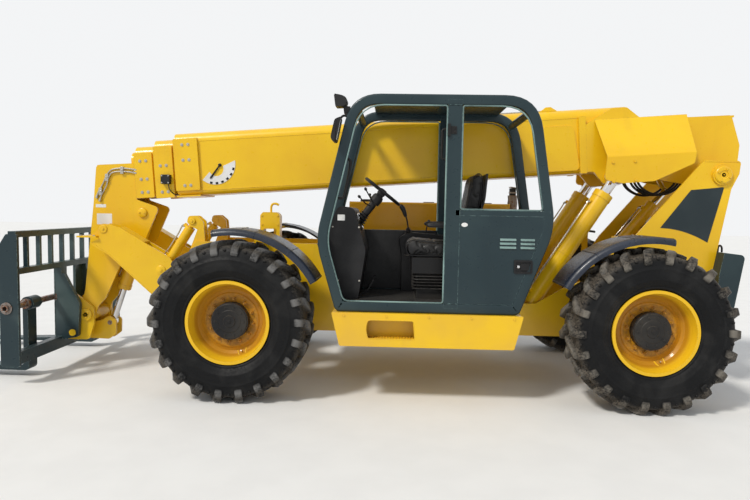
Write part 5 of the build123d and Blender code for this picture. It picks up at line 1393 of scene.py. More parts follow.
@dataclass(frozen=True)
class Ram:
    """A cylinder's outside fittings: port blocks, a steel line along the barrel and a gland."""

    name: str
    body: str
    base: tuple[float, float]
    tip: tuple[float, float]
    radius: float
    length: float
    sides: tuple[float, ...] = (0.0,)
    turn: float = 90.0
    ports: tuple[float, float] = (0.16, 0.90)

    def build(self, finishes: Finishes) -> None:
        """Make the fittings.

        The line runs on the side of the barrel that lies at turn degrees from outwards-across,
        towards the barrel's upper face.
        """
        foot, tip = spread((self.base[0], 0, self.base[1])), spread((self.tip[0], 0, self.tip[1]))
        run = unit(tip - foot)
        up = spread((-run[2], 0, run[0])) * (1 if run[0] > 0 else -1)
        metal, blocks = Stock(), Stock()
        for y in self.sides:
            out = 1.0 if y >= 0 else -1.0
            a = math.radians(self.turn)
            ray = spread((0, out, 0)) * math.cos(a) + up * math.sin(a)
            middle = foot + (0, y, 0)
            near, far = (middle + run * (self.length * share) for share in self.ports)
            r = self.radius
            line_set(metal, (near + ray * (r + 0.010), near + run * 0.03 + ray * (r + 0.030),
                near + run * 0.10 + ray * (r + 0.024), far - run * 0.10 + ray * (r + 0.024),
                far - run * 0.03 + ray * (r + 0.030), far + ray * (r + 0.010)), 0.007)
            for place in (near, far):
                blocks.turned(button(0.021, -0.006, 0.016, 0.017, 0.020), place + ray * r, ray, 6)
            end = middle + run * self.length
            t = np.radians(np.arange(0, 360, 45) + 12.0)
            across = np.cross(run, (0, 1, 0))
            ring = np.cos(t)[:, None] * spread((0, 1, 0)) + np.sin(t)[:, None] * across
            bolts(blocks, end + ring * r * 0.86, run, max(0.006, r * 0.10), 0.007)
            strap = middle + run * (self.length * 0.5)
            blocks.turned(band(r - 0.001, r + 0.0035, -0.012, 0.012), strap, run, 32)
        metal.piece(self.name + "_line", finishes.zinc, Slot.BLACK, self.body)
        blocks.piece(self.name + "_ports", finishes.yellow, Slot.YELLOW, self.body)


# Cab

@dataclass
class Cab:
    """Bent-tube cab frame with its trim, a painted-shade sheet inside, latch, handle and mirror glass."""

    out: float = 1.170
    near: float = 0.252
    tube: float = 0.085
    thick: float = 0.060

    def outline(self) -> np.ndarray:
        """The frame's outer line seen from the side, its corners bent as the tube is."""
        return rounded(mm(((876, 781, 45), (1050, 1373, 150), (765, 2573, 235), (-745, 2573, 270),
            (-915, 1510, 160), (-642, 781, 45))), 9)

    def ring(self, stock: Stock, middle: float) -> np.ndarray:
        """Put in one bent ring: outline + inward * u + across * w over a rounded section.

        Args:
            stock: The stock that it goes into.
            middle: Its middle plane across the machine.

        Returns:
            Points (x, z) of the ring's middle line.
        """
        line = self.outline()
        run = unit(np.roll(line, -1, 0) - np.roll(line, 1, 0))
        inward = np.column_stack((-run[:, 1], run[:, 0]))
        if ((line.mean(axis=0) - line[0]) @ inward[0]) < 0:
            inward = -inward
        half, u_top = self.thick / 2, self.tube
        section = rounded(((0, -half, 0.020), (u_top, -half, 0.012), (u_top, half, 0.012),
            (0, half, 0.020)), 5)
        flat = line[:, None] + inward[:, None] * section[None, :, :1]
        across = np.broadcast_to(middle + section[:, 1], flat.shape[:2])
        stock.grid(np.stack((flat[..., 0], across, flat[..., 1]), axis=-1), True, True)
        return line + inward * self.tube / 2

    def frame(self, finishes: Finishes) -> None:
        """Both rings, their pillars and waist rails, and the tubes that join them."""
        stock = Stock()
        for middle in (self.out - self.thick / 2, self.near + self.thick / 2):
            line = self.ring(stock, middle)
            low, high = middle - self.thick / 2 + 0.001, middle + self.thick / 2 - 0.001
            stock.slab(pane(-0.134, 0.83, -0.020, 2.53, 0.004), low, high)
            stock.slab(mm(((-100, 1598), (-100, 1642), (-865, 1642), (-868, 1598))), low, high)
        for x, z in mm(((830, 824), (1006, 1373), (727, 2470), (-700, 2455), (-871, 1510), (-600, 824))):
            near = np.argmin(np.hypot(line[:, 0] - x, line[:, 1] - z))
            px, pz = line[near]
            stock.tube(((px, self.near + 0.02, pz), (px, self.out - 0.02, pz)), 0.034, 20)
        piece = stock.piece("cab_tubes", finishes.green, Slot.GREEN, smooth=50)
        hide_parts("cab_frame")
        welds = Stock()
        for y in (self.out + 0.0005, self.out - self.thick):
            for z in (0.868, 2.487):
                bead(welds, ((-0.134, y, z), (-0.020, y, z)), 0.004)
            bead(welds, ((-0.134, y, 1.600), (-0.134, y, 1.642)), 0.004)
        welds.piece("cab_welds", finishes.green, Slot.GREEN)

    def lips(self, finishes: Finishes) -> None:
        """Lip round the door opening and seals round the windows, on both sides, coloured light green as a
        painted highlight along their edges.
        """
        door = rounded(mm(((-14, 872, 20), (812, 872, 50), (957, 1372, 130), (694, 2482, 200),
            (-14, 2482, 20))), 7)
        window = rounded(mm(((-140, 1648, 20), (-140, 2482, 20), (-672, 2482, 220), (-806, 1648, 30))), 7)
        lip, seal = Stock(), Stock()
        for side in (1, -1):
            y = self.out - 0.006 if side > 0 else self.near + 0.006
            path = upright(door, y)
            lip.tube(path, 0.0065, 8, closed=True)
            path = upright(window, y)
            seal.tube(path, 0.0065, 8, closed=True)
        lip.piece("door_lips", finishes.lip, Slot.GREEN)
        seal.piece("window_lips", finishes.lip, Slot.GREEN)

    def latch(self, finishes: Finishes) -> None:
        """Black latch with its recess, paddle and lock, and the small blank label."""
        face = self.out - 0.002
        plate = Stock()
        outer = pane(-0.735, 1.131, -0.585, 1.242, 0.016, 5)
        inner = pane(-0.720, 1.146, -0.600, 1.227, 0.010, 5)
        rows = [(outer, face - 0.002), (outer, face + 0.010), (inner, face + 0.010), (inner, face + 0.001),
            (np.broadcast_to(inner.mean(axis=0), inner.shape), face + 0.001)]
        plate.grid(spread([upright(o, y) for o, y in rows]), False, True)
        plate.slab(pane(-0.708, 1.160, -0.640, 1.214, 0.006), face + 0.001, face + 0.009)
        plate.piece("door_latch", finishes.plastic, Slot.PLASTIC)
        lock = Stock().turned(button(0.011, 0, 0.008, 0.008, 0.010), (-0.622, face + 0.001, 1.187),
            (0, 1, 0), 20)
        lock.box((-0.6235, face + 0.010, 1.181), (-0.6205, face + 0.012, 1.193))
        lock.piece("latch_lock", finishes.chrome, Slot.CHROME)
        t = full_turn(28)
        oval = np.stack((-0.175 + 0.026 * np.cos(t), 1.522 + 0.017 * np.sin(t)), 1)
        label = Stock().slab(oval, face - 0.0005, face + 0.001)
        label.piece("door_label", finishes.plate, Slot.BLACK)

    def shade_sheet(self, finishes: Finishes) -> None:
        """Black moulded sheet inside the far wall, on both sides of its pillar, as painted shade for the
        dark cab interior.
        """
        trim = Stock()
        trim.slab(rounded(mm(((-10, 872, 10), (800, 872, 40), (942, 1372, 30), (925, 1436, 10),
            (-10, 1436, 10))), 5), self.near + 0.0445, self.near + 0.0565)
        trim.slab(rounded(mm(((-600, 872, 20), (-144, 872, 10), (-144, 1436, 10), (-815, 1436, 20))), 5),
            self.near + 0.0445, self.near + 0.0565)
        trim.piece("cab_shade_sheet", finishes.plastic, Slot.PLASTIC, bevel=0.004)

    def blades(self, finishes: Finishes) -> None:
        """Painted highlight on the quarter panel's louvre blades: a thin bent strip of light green over
        each.
        """
        skin, face = Stock(), self.out - 0.002
        for rear, front in mm(((-597, -467), (-747, -635))):
            for low in (1.333, 1.365, 1.397):
                skin.slab([(face + dy, low + dz) for dy, dz in mm(((-3.5, 22.8), (9.8, 7), (9.8, 1.4),
                    (8.8, 1.4), (8.8, 6), (-4.5, 21.6)))], rear, front, "x")
        skin.piece("louvre_highlights", finishes.lip, Slot.GREEN)

    def handles(self, finishes: Finishes) -> None:
        """Grab handle inside the front pillar, a pull inside the door post and its hook."""
        bars = Stock()
        y = self.out - 0.045
        bars.tube(smooth_path(upright(mm(((838, 2055), (792, 2045), (770, 1995), (812, 1760), (838, 1722),
            (888, 1728))), y), 7), 0.0115, 12)
        bars.tube(smooth_path(upright(mm(((-20, 2300), (18, 2290), (22, 2250), (22, 2100), (18, 2060),
            (-20, 2050))), y), 6), 0.009, 10)
        bars.piece("grab_handles", finishes.black, Slot.BLACK)
        hook = Stock().box((-0.040, self.out - 0.002, 2.235), (-0.018, self.out + 0.018, 2.335))
        hook.box((-0.090, self.out - 0.002, 2.255), (-0.038, self.out + 0.008, 2.315))
        bolts(hook, [(-0.075, self.out + 0.008, 2.270), (-0.075, self.out + 0.008, 2.300)], (0, 1, 0),
            0.006, 0.005)
        hook.piece("door_hook", finishes.black, Slot.BLACK, bevel=0.002)

    def lamp(self, finishes: Finishes) -> None:
        """Boxy work lamp on the front corner of the roof, and the mirror below it."""
        y, shell = self.out - 0.030, Stock()
        shell.slab(rounded(mm(((902.5, 2561, 4), (850, 2553, 20), (802, 2534, 30), (797, 2488, 20),
            (824, 2462, 20), (890, 2459, 4))), 5), y - 0.055, y + 0.055)
        shell.slab(rounded(mm(((842, 2372, 12), (894, 2352, 20), (926, 2206, 20), (905, 2168, 20),
            (880, 2176, 10))), 5), y - 0.030, y + 0.110)
        shell.slab(mm(((776, 2466), (834, 2472), (826, 2410), (806, 2392), (782, 2405))), y - 0.016,
            y + 0.016)
        bolts(shell, [(0.806, y + 0.016, 2.425)], (0, 1, 0), 0.009, 0.008)
        shell.tube(smooth_path(((0.796, y, 2.388), (0.835, y, 2.392), (0.866, y + 0.02, 2.352)), 5),
            0.0095, 12)
        housing = shell.piece("lamp_and_mirror", finishes.plastic, Slot.BLACK, bevel=0.003)
        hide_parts("mirrors")
        front = spread(((0.9016, 2.552), (0.8900, 2.467)))
        lens, rim = Stock(), Stock()
        corners = ((0, y - 0.046), (0, y + 0.046), (1, y + 0.046), (1, y - 0.046))
        edge = [(front[k][0] + 0.0015, side, front[k][1]) for k, side in corners]
        rim.tube(edge, 0.0045, 8, closed=True)
        rim.piece("lamp_rim", finishes.black, Slot.BLACK)
        lens.grid(spread([[(front[k][0] + dx, side, front[k][1]) for k, side in corners] for dx in (-0.002,
            0.002)] + [[(0.8985, y, 2.510)] * 4]), False, True)
        lens.piece("lamp_lens", finishes.lamp, Slot.CHROME)
        glass = Stock()
        back = pane(y - 0.022, 2.186, y + 0.102, 2.358, 0.015, 4)
        place = 0.8445 + (2.358 - back[:, 1]) * 0.1940
        sheet = np.column_stack((place, back))
        glass.grid(spread((sheet + (0.002, 0, 0), sheet - (0.002, 0, 0),
            np.broadcast_to(sheet.mean(axis=0) - (0.002, 0, 0), sheet.shape))), False, True)
        glass.piece("mirror_glass", finishes.mirror, Slot.CHROME)

    def build(self, finishes: Finishes) -> None:
        """Make all of the cab's outside pieces."""
        self.frame(finishes)
        self.lips(finishes)
        self.latch(finishes)
        self.shade_sheet(finishes)
        self.blades(finishes)
        self.handles(finishes)
        self.lamp(finishes)


@dataclass
class Seat:
    """Padded seat on its bellows, with armrests and a shell behind the back."""

    near: float = 0.463
    far: float = 0.957
    voxel: float = 0.006
    cap: float = 0.016
    cushion: tuple[tuple[float, float, float], ...] = ((-0.196, 1.241, 0.03), (0.288, 1.241, 0.04),
        (0.312, 1.325, 0.04), (0.284, 1.382, 0.05), (0.17, 1.366, 0.08), (-0.170, 1.346, 0.03),
        (-0.198, 1.300, 0.02))
    back: tuple[tuple[float, float, float], ...] = ((-0.166, 1.392, 0.02), (-0.112, 1.396, 0.02),
        (-0.186, 1.56, 0.08), (-0.224, 1.690, 0.06), (-0.276, 1.966, 0.05), (-0.350, 1.970, 0.05),
        (-0.332, 1.700, 0.06), (-0.226, 1.415, 0.03))

    def pad(self, name: str, outline: object, seams: tuple[tuple[float, float, float], ...],
            finish: bpy.types.Material) -> bpy.types.Object:
        """A cushion swollen by cloth simulation from a smaller block, then grooved at its seams.

        Args:
            name: The piece's name.
            outline: Its side view (x, z, rounding), a little smaller than the finished pad.
            seams: Lines across the pad (x, z, depth) where its channels are sewn.
            finish: The vinyl.

        Returns:
            The pad.
        """
        flat = rounded(outline, 6)
        middle = flat.mean(axis=0)
        y = np.linspace(0, 1, 25)
        pinch = 1 - 0.10 * np.abs(2 * y - 1) ** 5
        rows = middle + (flat - middle)[None] * pinch[:, None, None]
        across = np.broadcast_to((self.near + 0.014 + (self.far - self.near - 0.028) * y)[:, None],
            rows.shape[:2])
        grid = np.stack((rows[..., 0], across, rows[..., 1]), axis=-1)
        piece = Stock().grid(end_capped(grid), False, True).piece(name, finish, Slot.VINYL, smooth=80)
        self.swell(piece)
        mesh = piece.data
        points = places_of(mesh)
        inward = unit(spread((middle[0] + Datum.shift, 0, middle[1])) - points * (1, 0, 1))
        sunk = np.zeros(len(points))
        for x, z, depth in seams:
            near = np.hypot(points[:, 0] - x - Datum.shift, points[:, 2] - z)
            sunk = np.maximum(sunk, depth * np.exp(-(near / 0.008) ** 2))
        side = np.minimum(points[:, 1] - self.near, self.far - points[:, 1])
        sunk = np.maximum(sunk, 0.004 * np.exp(-((side - 0.045) / 0.006) ** 2))
        points += inward * sunk[:, None]
        mesh.vertices.foreach_set("co", points.ravel())
        mesh.update()
        more = piece.modifiers.new("finer", "SUBSURF")
        more.levels = more.render_levels = 1
        return piece

    def swell(self, piece: bpy.types.Object) -> None:
        """Remesh the pad, blow it up as cloth under pressure, and hold each point near its start.

        Args:
            piece: The pad, changed in place.
        """
        scene = bpy.context.scene
        bpy.context.view_layer.objects.active = piece
        remesh = piece.modifiers.new("even", "REMESH")
        remesh.mode, remesh.voxel_size = "VOXEL", self.voxel
        self.apply(piece)
        start = places_of(piece.data)
        cloth = piece.modifiers.new("cloth", "CLOTH")
        cloth.settings.use_pressure = True
        cloth.settings.uniform_pressure_force = 4.0
        cloth.settings.effector_weights.gravity = 0.0
        cloth.settings.tension_stiffness = cloth.settings.compression_stiffness = 12.0
        cloth.point_cache.frame_start, cloth.point_cache.frame_end = 1, 20
        for number in range(1, 21):
            scene.frame_set(number)
        self.apply(piece)
        scene.frame_set(1)
        move = places_of(piece.data) - start
        far = np.linalg.norm(move, axis=1, keepdims=True)
        held = start + move * np.minimum(1, self.cap / np.maximum(far, 1e-9))
        piece.data.vertices.foreach_set("co", held.ravel())
        piece.data.update()

    @staticmethod
    def apply(piece: bpy.types.Object) -> None:
        """Make the piece's mesh what its modifiers give, and take them off."""
        seen = piece.evaluated_get(bpy.context.evaluated_depsgraph_get())
        mesh = bpy.data.meshes.new_from_object(seen)
        piece.modifiers.clear()
        piece.data = mesh
        mesh.polygons.foreach_set("use_smooth", np.ones(len(mesh.polygons), dtype=bool))

    def piping(self, finishes: Finishes) -> None:
        """Welts along the cushion's and the back's side seams, on the pads' drawn-in ends."""
        welts = Stock()
        cushion, back = rounded(self.cushion[:4] + self.cushion[5:], 6), rounded(self.back, 6)
        for outline in (cushion, back):
            middle = outline.mean(axis=0)
            line = middle + (outline - middle) * 0.955
            for y in (self.near + 0.030, self.far - 0.030):
                welts.tube(upright(line, y), 0.0042, 8, closed=True)
        welts.piece("seat_welts", finishes.plastic, Slot.VINYL)

    def bellows(self, finishes: Finishes) -> None:
        """Folded boot round the suspension, its rings swelling and shrinking with height."""
        z = np.linspace(0.955, 1.089, 45)
        swell = 0.014 + 0.012 * np.cos((z - z[0]) / 0.134 * math.pi * 2 * 5)
        base = pane(-0.180, 0.520, 0.200, 0.900, 0.05, 7)
        middle = base.mean(axis=0)
        scale = 1 + (swell[:, None, None] + 0.008) / 0.19
        flat = middle + (base - middle)[None] * scale
        rows = np.concatenate((flat, np.broadcast_to(z[:, None, None], (*flat.shape[:2], 1))), axis=2)
        ends = [np.broadcast_to((*middle, height), rows[:1].shape) for height in (z[0], z[-1])]
        Stock().grid(np.concatenate((ends[0], rows, ends[1])), False, True).piece("seat_bellows",
            finishes.hose, Slot.PLASTIC, smooth=60)

    def frame(self, finishes: Finishes) -> None:
        """Back shell, armrests with their arms, slide rails, belt buckle and adjusting lever."""
        shell = Stock()
        line = smooth_path(mm(((-252, 1400), (-300, 1520), (-366, 1700), (-384, 1860), (-392, 1955))), 5)
        y = np.linspace(-1, 1, 13)
        bow = 0.010 * (1 - y ** 4)
        rows = np.stack((line[:, None, 0] - bow[None], np.broadcast_to(0.710 + 0.225 * y, (len(line), 13)),
            np.broadcast_to(line[:, 1:2], (len(line), 13))), axis=-1)
        rows = np.concatenate((rows, rows[:, ::-1] + (0.016, 0, 0)), axis=1)
        shell.grid(end_capped(rows), False, True)
        shell.piece("seat_shell", finishes.plastic, Slot.PLASTIC, smooth=50)
        arms, rests = Stock(), Stock()
        for y in (self.near - 0.030, self.far + 0.030):
            arms.tube(smooth_path(upright(mm(((-245, 1440), (-238, 1475), (-200, 1488), (0, 1488))), y),
                5), 0.010, 10)
            outline = rounded(mm(((-225, 1490, 20), (115, 1490, 20), (125, 1520, 20), (90, 1532, 20),
                (-225, 1536, 20))), 5)
            w = np.linspace(0, 1, 9)
            crown = 1 - 0.35 * np.abs(2 * w - 1) ** 4
            middle = spread((outline[:, 0].mean(), 1.490))
            rows = middle + (outline - middle)[None] * np.stack((1 - 0.02 * np.abs(2 * w - 1) ** 4, crown),
                1)[:, None]
            across = np.broadcast_to((y - 0.026 + 0.052 * w)[:, None], rows.shape[:2])
            grid = np.stack((rows[..., 0], across, rows[..., 1]), -1)
            rests.grid(end_capped(grid), False, True)
        arms.piece("armrest_arms", finishes.black, Slot.BLACK)
        pads = rests.piece("armrest_pads", finishes.vinyl, Slot.VINYL, smooth=60)
        rails = Stock()
        for y in (0.535, 0.885):
            rails.box((-0.20, y - 0.016, 1.2248), (0.24, y + 0.016, 1.2360))
        rails.tube(smooth_path(mm(((235, 660, 1232), (285, 660, 1226), (300, 700, 1224), (285, 740, 1226),
            (235, 740, 1232))), 5), 0.006, 8)
        rails.box((-0.150, self.far + 0.003, 1.300), (-0.115, self.far + 0.018, 1.420))
        rails.piece("seat_rails", finishes.black, Slot.BLACK, bevel=0.002)

    def build(self, finishes: Finishes) -> None:
        """Make the seat and let its pads stand for the CAD pads."""
        cushion = self.pad("seat_cushion", self.cushion,
            mm(((205, 1385, 9), (55, 1375, 8), (-85, 1365, 8))), finishes.vinyl)
        back = self.pad("seat_back", self.back, mm(((-165, 1545, 8), (-215, 1690, 8), (-240, 1835, 8))),
            finishes.vinyl)
        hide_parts("seat_pads")
        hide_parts("seat_pads")
        self.piping(finishes)
        self.bellows(finishes)
        self.frame(finishes)


@dataclass
class Controls:
    """Dash, column, levers, pedals and floor mat inside the cab."""

    side: float = 0.980

    def dash(self, finishes: Finishes) -> None:
        """Gauge faces in bezels on the console's rear face, switches and a blank plate."""
        down, out = unit(spread((-0.105, 0, -0.36))), unit(spread((-0.36, 0, 0.105)))
        top = spread((0.7415, 0, 1.628))
        bezels, faces, switches = Stock(), Stock(), Stock()
        for y, drop, size in mm(((560, 75, 40), (660, 75, 40), (760, 75, 40), (560, 170, 26),
                (640, 170, 26))):
            place = top + down * drop + (0, y, 0)
            bezels.turned(((size, -0.004), (size + 0.004, -0.002), (size + 0.004, 0.007),
                (size - 0.002, 0.009), (size - 0.004, 0.003), (size - 0.004, -0.004), (size, -0.004)),
                place, out, 28)
            faces.turned(button(size - 0.003, -0.003, 0.002), place, out, 28)
            switches.tube((place + out * 0.003 - down * size * 0.2,
                place + out * 0.0035 + down * size * 0.55 + (0, size * 0.4, 0)), 0.0014, 6)
        for k in range(4):
            place = top + down * 0.175 + (0, 0.725 + 0.035 * k, 0)
            switches.box(place - (0.012, 0.011, 0.014), place + (0.004, 0.011, 0.014))
        bezels.piece("gauge_bezels", finishes.chrome, Slot.CHROME)
        faces.piece("gauge_faces", finishes.plate, Slot.BLACK)
        switches.piece("dash_switches", finishes.black, Slot.PLASTIC, bevel=0.001)
        label = Stock().slab(pane(0.822, 1.535, 0.885, 1.585, 0.004), self.side - 0.0005,
            self.side + 0.001)
        label.piece("dash_label", finishes.plate, Slot.BLACK)
        seam = Stock()
        for x, z in mm(((690, 1020), (875, 1020), (700, 1480), (925, 1480))):
            bolts(seam, [(x, self.side, z)], (0, 1, 0), 0.006, 0.003)
        seam.piece("console_screws", finishes.zinc, Slot.BLACK)

    def column(self, finishes: Finishes) -> None:
        """Collar, boot, gear and light levers on the steering column, and the wheel's cap."""
        axis = unit(spread((-0.608, 0, 0.794)))
        hub = spread((0.510, 0.690, 1.795))
        parts = Stock()
        parts.turned(mm(((34, 0), (50, 4), (52, 60), (44, 85), (34, 88), (34, 0))), hub - axis * 0.135,
            axis, 28)
        z = np.linspace(0, 0.10, 25)
        folds = 0.050 + 0.010 * np.cos(z / 0.10 * 2 * math.pi * 4) - 0.12 * z
        profile = np.vstack(((0, 0), np.column_stack((folds, z)), (0, 0.10)))
        parts.turned(profile, hub - axis * 0.350, axis, 28)
        levers = (mm(((598, 735, 1706), (620, 820, 1745), (648, 905, 1800))),
            mm(((598, 645, 1706), (610, 570, 1730), (630, 500, 1765))),
            mm(((620, 735, 1665), (660, 820, 1690), (700, 890, 1735))))
        for line in levers:
            parts.tube(smooth_path(line, 5), 0.0055, 8)
            end, run = spread(line[-1]), unit(spread(line[-1]) - spread(line[-2]))
            a = np.linspace(0, math.pi, 9)
            parts.turned(np.column_stack((0.013 * np.sin(a), 0.020 - 0.020 * np.cos(a) - 0.006)), end, run,
                14)
        parts.turned(mm(((0, 0), (34, 0), (34, 6), (26, 12), (0, 14))), hub + axis * 0.010, axis, 24)
        parts.piece("column_parts", finishes.plastic, Slot.PLASTIC, smooth=50)

    def stick(self, finishes: Finishes) -> None:
        """Side console with the boom's joystick in its boot, and a park lever."""
        box = Stock().slab(rounded(mm(((-160, 861, 10), (330, 861, 10), (330, 1200, 50), (360, 1370, 40),
            (270, 1425, 50), (-160, 1400, 30))), 5), 0.314, 0.425)
        box.piece("side_console", finishes.plastic, Slot.PLASTIC, bevel=0.008)
        parts = Stock()
        z = np.linspace(0, 0.055, 21)
        folds = 0.040 - 0.45 * z + 0.0045 * np.cos(z / 0.055 * 2 * math.pi * 4)
        parts.turned(np.vstack(((0, 0), np.column_stack((folds, z)), (0, 0.055))), (0.262, 0.370, 1.412),
            (0.15, 0, 1), 24)
        parts.tube(smooth_path(mm(((266, 370, 1450), (278, 370, 1530), (300, 372, 1600))), 5), 0.007, 10)
        grip = smooth_path(mm(((292, 371, 1572), (303, 372, 1600), (318, 373, 1640), (338, 374, 1668),
            (352, 374, 1672))), 5)
        parts.tube(grip, np.interp(np.linspace(0, 1, len(grip)), (0, 0.25, 0.6, 1), (0.014, 0.019, 0.023,
            0.016)), 14)
        parts.tube(smooth_path(mm(((100, 350, 1405), (90, 350, 1470), (75, 350, 1520))), 4), 0.006, 8)
        a = np.linspace(0, math.pi, 9)
        parts.turned(np.column_stack((0.016 * np.sin(a), 0.016 - 0.018 * np.cos(a))),
            (0.075, 0.350, 1.512), (-0.2, 0, 1), 14)
        parts.piece("joystick", finishes.plastic, Slot.PLASTIC, smooth=50)

    def pedals(self, finishes: Finishes) -> None:
        """Two ribbed pedals on bent arms, and a ribbed mat on the floor."""
        parts = Stock()
        for y, wide in mm(((550, 35), (800, 50))):
            parts.tube(smooth_path(upright(mm(((690, 880), (640, 905), (600, 960))), y), 4), 0.008, 8)
            t = unit(spread((-0.45, 0, 0.89)))
            n = spread((-0.89, 0, -0.45))
            for k in range(6):
                p = spread((0.615, y, 0.925)) + t * (0.018 * k)
                c = [(p + t * a + n * b)[[0, 2]] for a, b in mm(((-6, 4), (6, 4), (6, -4), (-6, -4)))]
                parts.slab(c, y - wide, y + wide)
            p0, p1 = spread((0.615, y, 0.925)) - t * 0.012, spread((0.615, y, 0.925)) + t * 0.102
            parts.slab([(q - n * d)[[0, 2]] for q, d in ((p0, 0.0), (p1, 0.0), (p1, 0.010), (p0, 0.010))],
                y - wide, y + wide)
        parts.piece("pedals", finishes.plastic, Slot.PLASTIC, bevel=0.001)
        mat = Stock().box((-0.560, 0.330, 0.8602), (0.690, 1.095, 0.8640))
        for y in np.linspace(0.345, 1.080, 33):
            mat.box((0.215, y - 0.005, 0.8635), (0.685, y + 0.005, 0.8675))
        mat.piece("floor_mat", finishes.mat, Slot.PLASTIC)

    def build(self, finishes: Finishes) -> None:
        """Make everything that the operator uses."""
        self.dash(finishes)
        self.column(finishes)
        self.stick(finishes)
        self.pedals(finishes)


# Body

@dataclass
class Chassis:
    """Tower panels, pivot caps, valve bank, hoses, step tread, fenders' ribs and rear lamps."""

    plate: float = 0.452

    def panels(self, finishes: Finishes) -> None:
        """Dark blank panel on each side of the tower, its lower edge an arc over the wheel."""
        a = np.linspace(0, 1, 14)
        sweep = np.stack((-2.536 + 0.473 * a, 1.362 + 0.149 * (1 - (1 - a) ** 2)), 1)
        outline = np.vstack((((-2.326, 1.866), (-2.616, 1.8965), (-2.622, 1.890)), sweep[1:]))
        panels = Stock()
        for side in (-1, 1):
            low, high = sorted((side * (self.plate - 0.001), side * (self.plate + 0.0025)))
            panels.slab(outline, low, high)
        panels.piece("tower_panels", finishes.panel, Slot.GREEN)

    def pivots(self, finishes: Finishes) -> None:
        """Boom pivot's caps with keeper plates, and the stabiliser pins' caps."""
        caps = Stock()
        for side in (-1, 1):
            y = side * (self.plate + 0.022)
            caps.turned(mm(((0, -4), (78, -4), (78, 10), (70, 16), (40, 16), (36, 10), (0, 10))),
                (-2.599, y, 2.008), (0, side, 0), 40)
            bolts(caps, [(-2.599 + 0.056 * math.cos(t), y + side * 0.0155, 2.008 + 0.056 * math.sin(t))
                for t in (0.4, 1.97, 3.54, 5.11)], (0, side, 0), 0.010, 0.008)
            caps.turned(mm(((0, 0), (6, 0), (6, 8), (3.5, 12), (0, 14))), (-2.599, y + side * 0.010,
                2.008), (0, side, 0), 8)
        for side in (-1, 1):
            for x, z, y, r in mm(((2470, 810, 473, 52), (2330, 1490, 438, 30))):
                caps.turned(button(r, -0.004, 0.004, r * 0.85, 0.008), (x, side * y, z), (0, side, 0), 24)
                bolts(caps, [(x, side * (y + 0.008), z)], (0, side, 0), r * 0.3, 0.007)
        caps.piece("frame_pin_caps", finishes.yellow, Slot.YELLOW)
        welds = Stock()
        for side in (-1, 1):
            y = side * (self.plate + 0.0005)
            bead(welds, ((-2.44, y, 2.128), (-2.752, y, 2.128)), 0.003)
            bead(welds, ((2.344, y, 0.745), (2.344, y, 1.19)), 0.004)
            t = np.radians(np.linspace(0, 360, 60))
            bead(welds, np.stack((-2.599 + 0.0935 * np.cos(t), np.full(60, y), 2.008 + 0.0935 * np.sin(t)),
                1), 0.004)
        welds.piece("frame_welds", finishes.yellow, Slot.YELLOW)

    def valves(self, finishes: Finishes) -> None:
        """Valve banks on the cross member behind the cab, with their spools and hoses."""
        bank, ports = Stock(), Stock()
        for side in (-1, 1):
            low, high = sorted((side * 0.105, side * 0.405))
            bank.box((-1.600, low, 0.944), (-1.505, high, 1.040))
            for k in range(4):
                y = side * (0.140 + 0.076 * k)
                bank.turned(button(0.023, -0.004, 0.050, 0.018, 0.056), (-1.505, y, 0.990), (1, 0, 0), 16)
                bank.turned(button(0.015, -0.004, 0.022), (-1.553, y, 1.040), (0, 0, 1), 6)
            for k, y in enumerate((0.135, 0.185, 0.235)):
                y, far, rise = side * y, side * 0.405, 0.045 * k
                ports.turned(mm(((0, -10), (16.5, -10), (16.5, 12), (12.5, 16), (0, 18))),
                    (-1.602, y, 0.958), (-1, 0, 0), 6)
                Hose("frame_hose_%s_%d" % ("left" if side > 0 else "right", k + 1), "root",
                    ((-1.612, y, 0.958), (-1.665, y, 0.962), (-1.730, y, 1.000 + rise / 2),
                    (-1.815, y, 1.120 + rise), (-1.905, y + side * 0.02, 1.270 + rise),
                    (-1.985, y + side * 0.06, 1.385 + rise), (-2.060, (y + far) / 2 + side * 0.03,
                    1.450 + rise), (-2.135, far - side * 0.03, 1.490 + rise), (-2.200, far, 1.500 + rise),
                    (-2.262, far, 1.500 + rise))).build(finishes.hose)
                ports.turned(mm(((0, -20), (16.5, -20), (16.5, 10), (12.5, 14), (0, 16))),
                    (-2.266, far, 1.500 + rise), (1, 0, 0), 6)
            low, high = sorted((side * 0.385, side * 0.431))
            ports.box((-2.330, low, 1.470), (-2.280, high, 1.620))
            for k, y in enumerate((0.095, 0.130, 0.165)):
                Hose("boom_hose_%s_%d" % ("left" if side > 0 else "right", k + 1), "boom",
                    Datum.on_boom(spread((0.70, 0.70, 0.67, 0.58, 0.47, 0.36, 0.27, 0.24, 0.24))
                    - 0.02 * k, side * y, (0.072, 0.02, -0.06, -0.13, -0.155, -0.13, -0.06, 0.02,
                    0.072))).build(finishes.hose)
        bank.piece("valve_banks", finishes.yellow, Slot.YELLOW, bevel=0.003)
        ports.piece("hose_ports", finishes.zinc, Slot.BLACK, bevel=0.001)

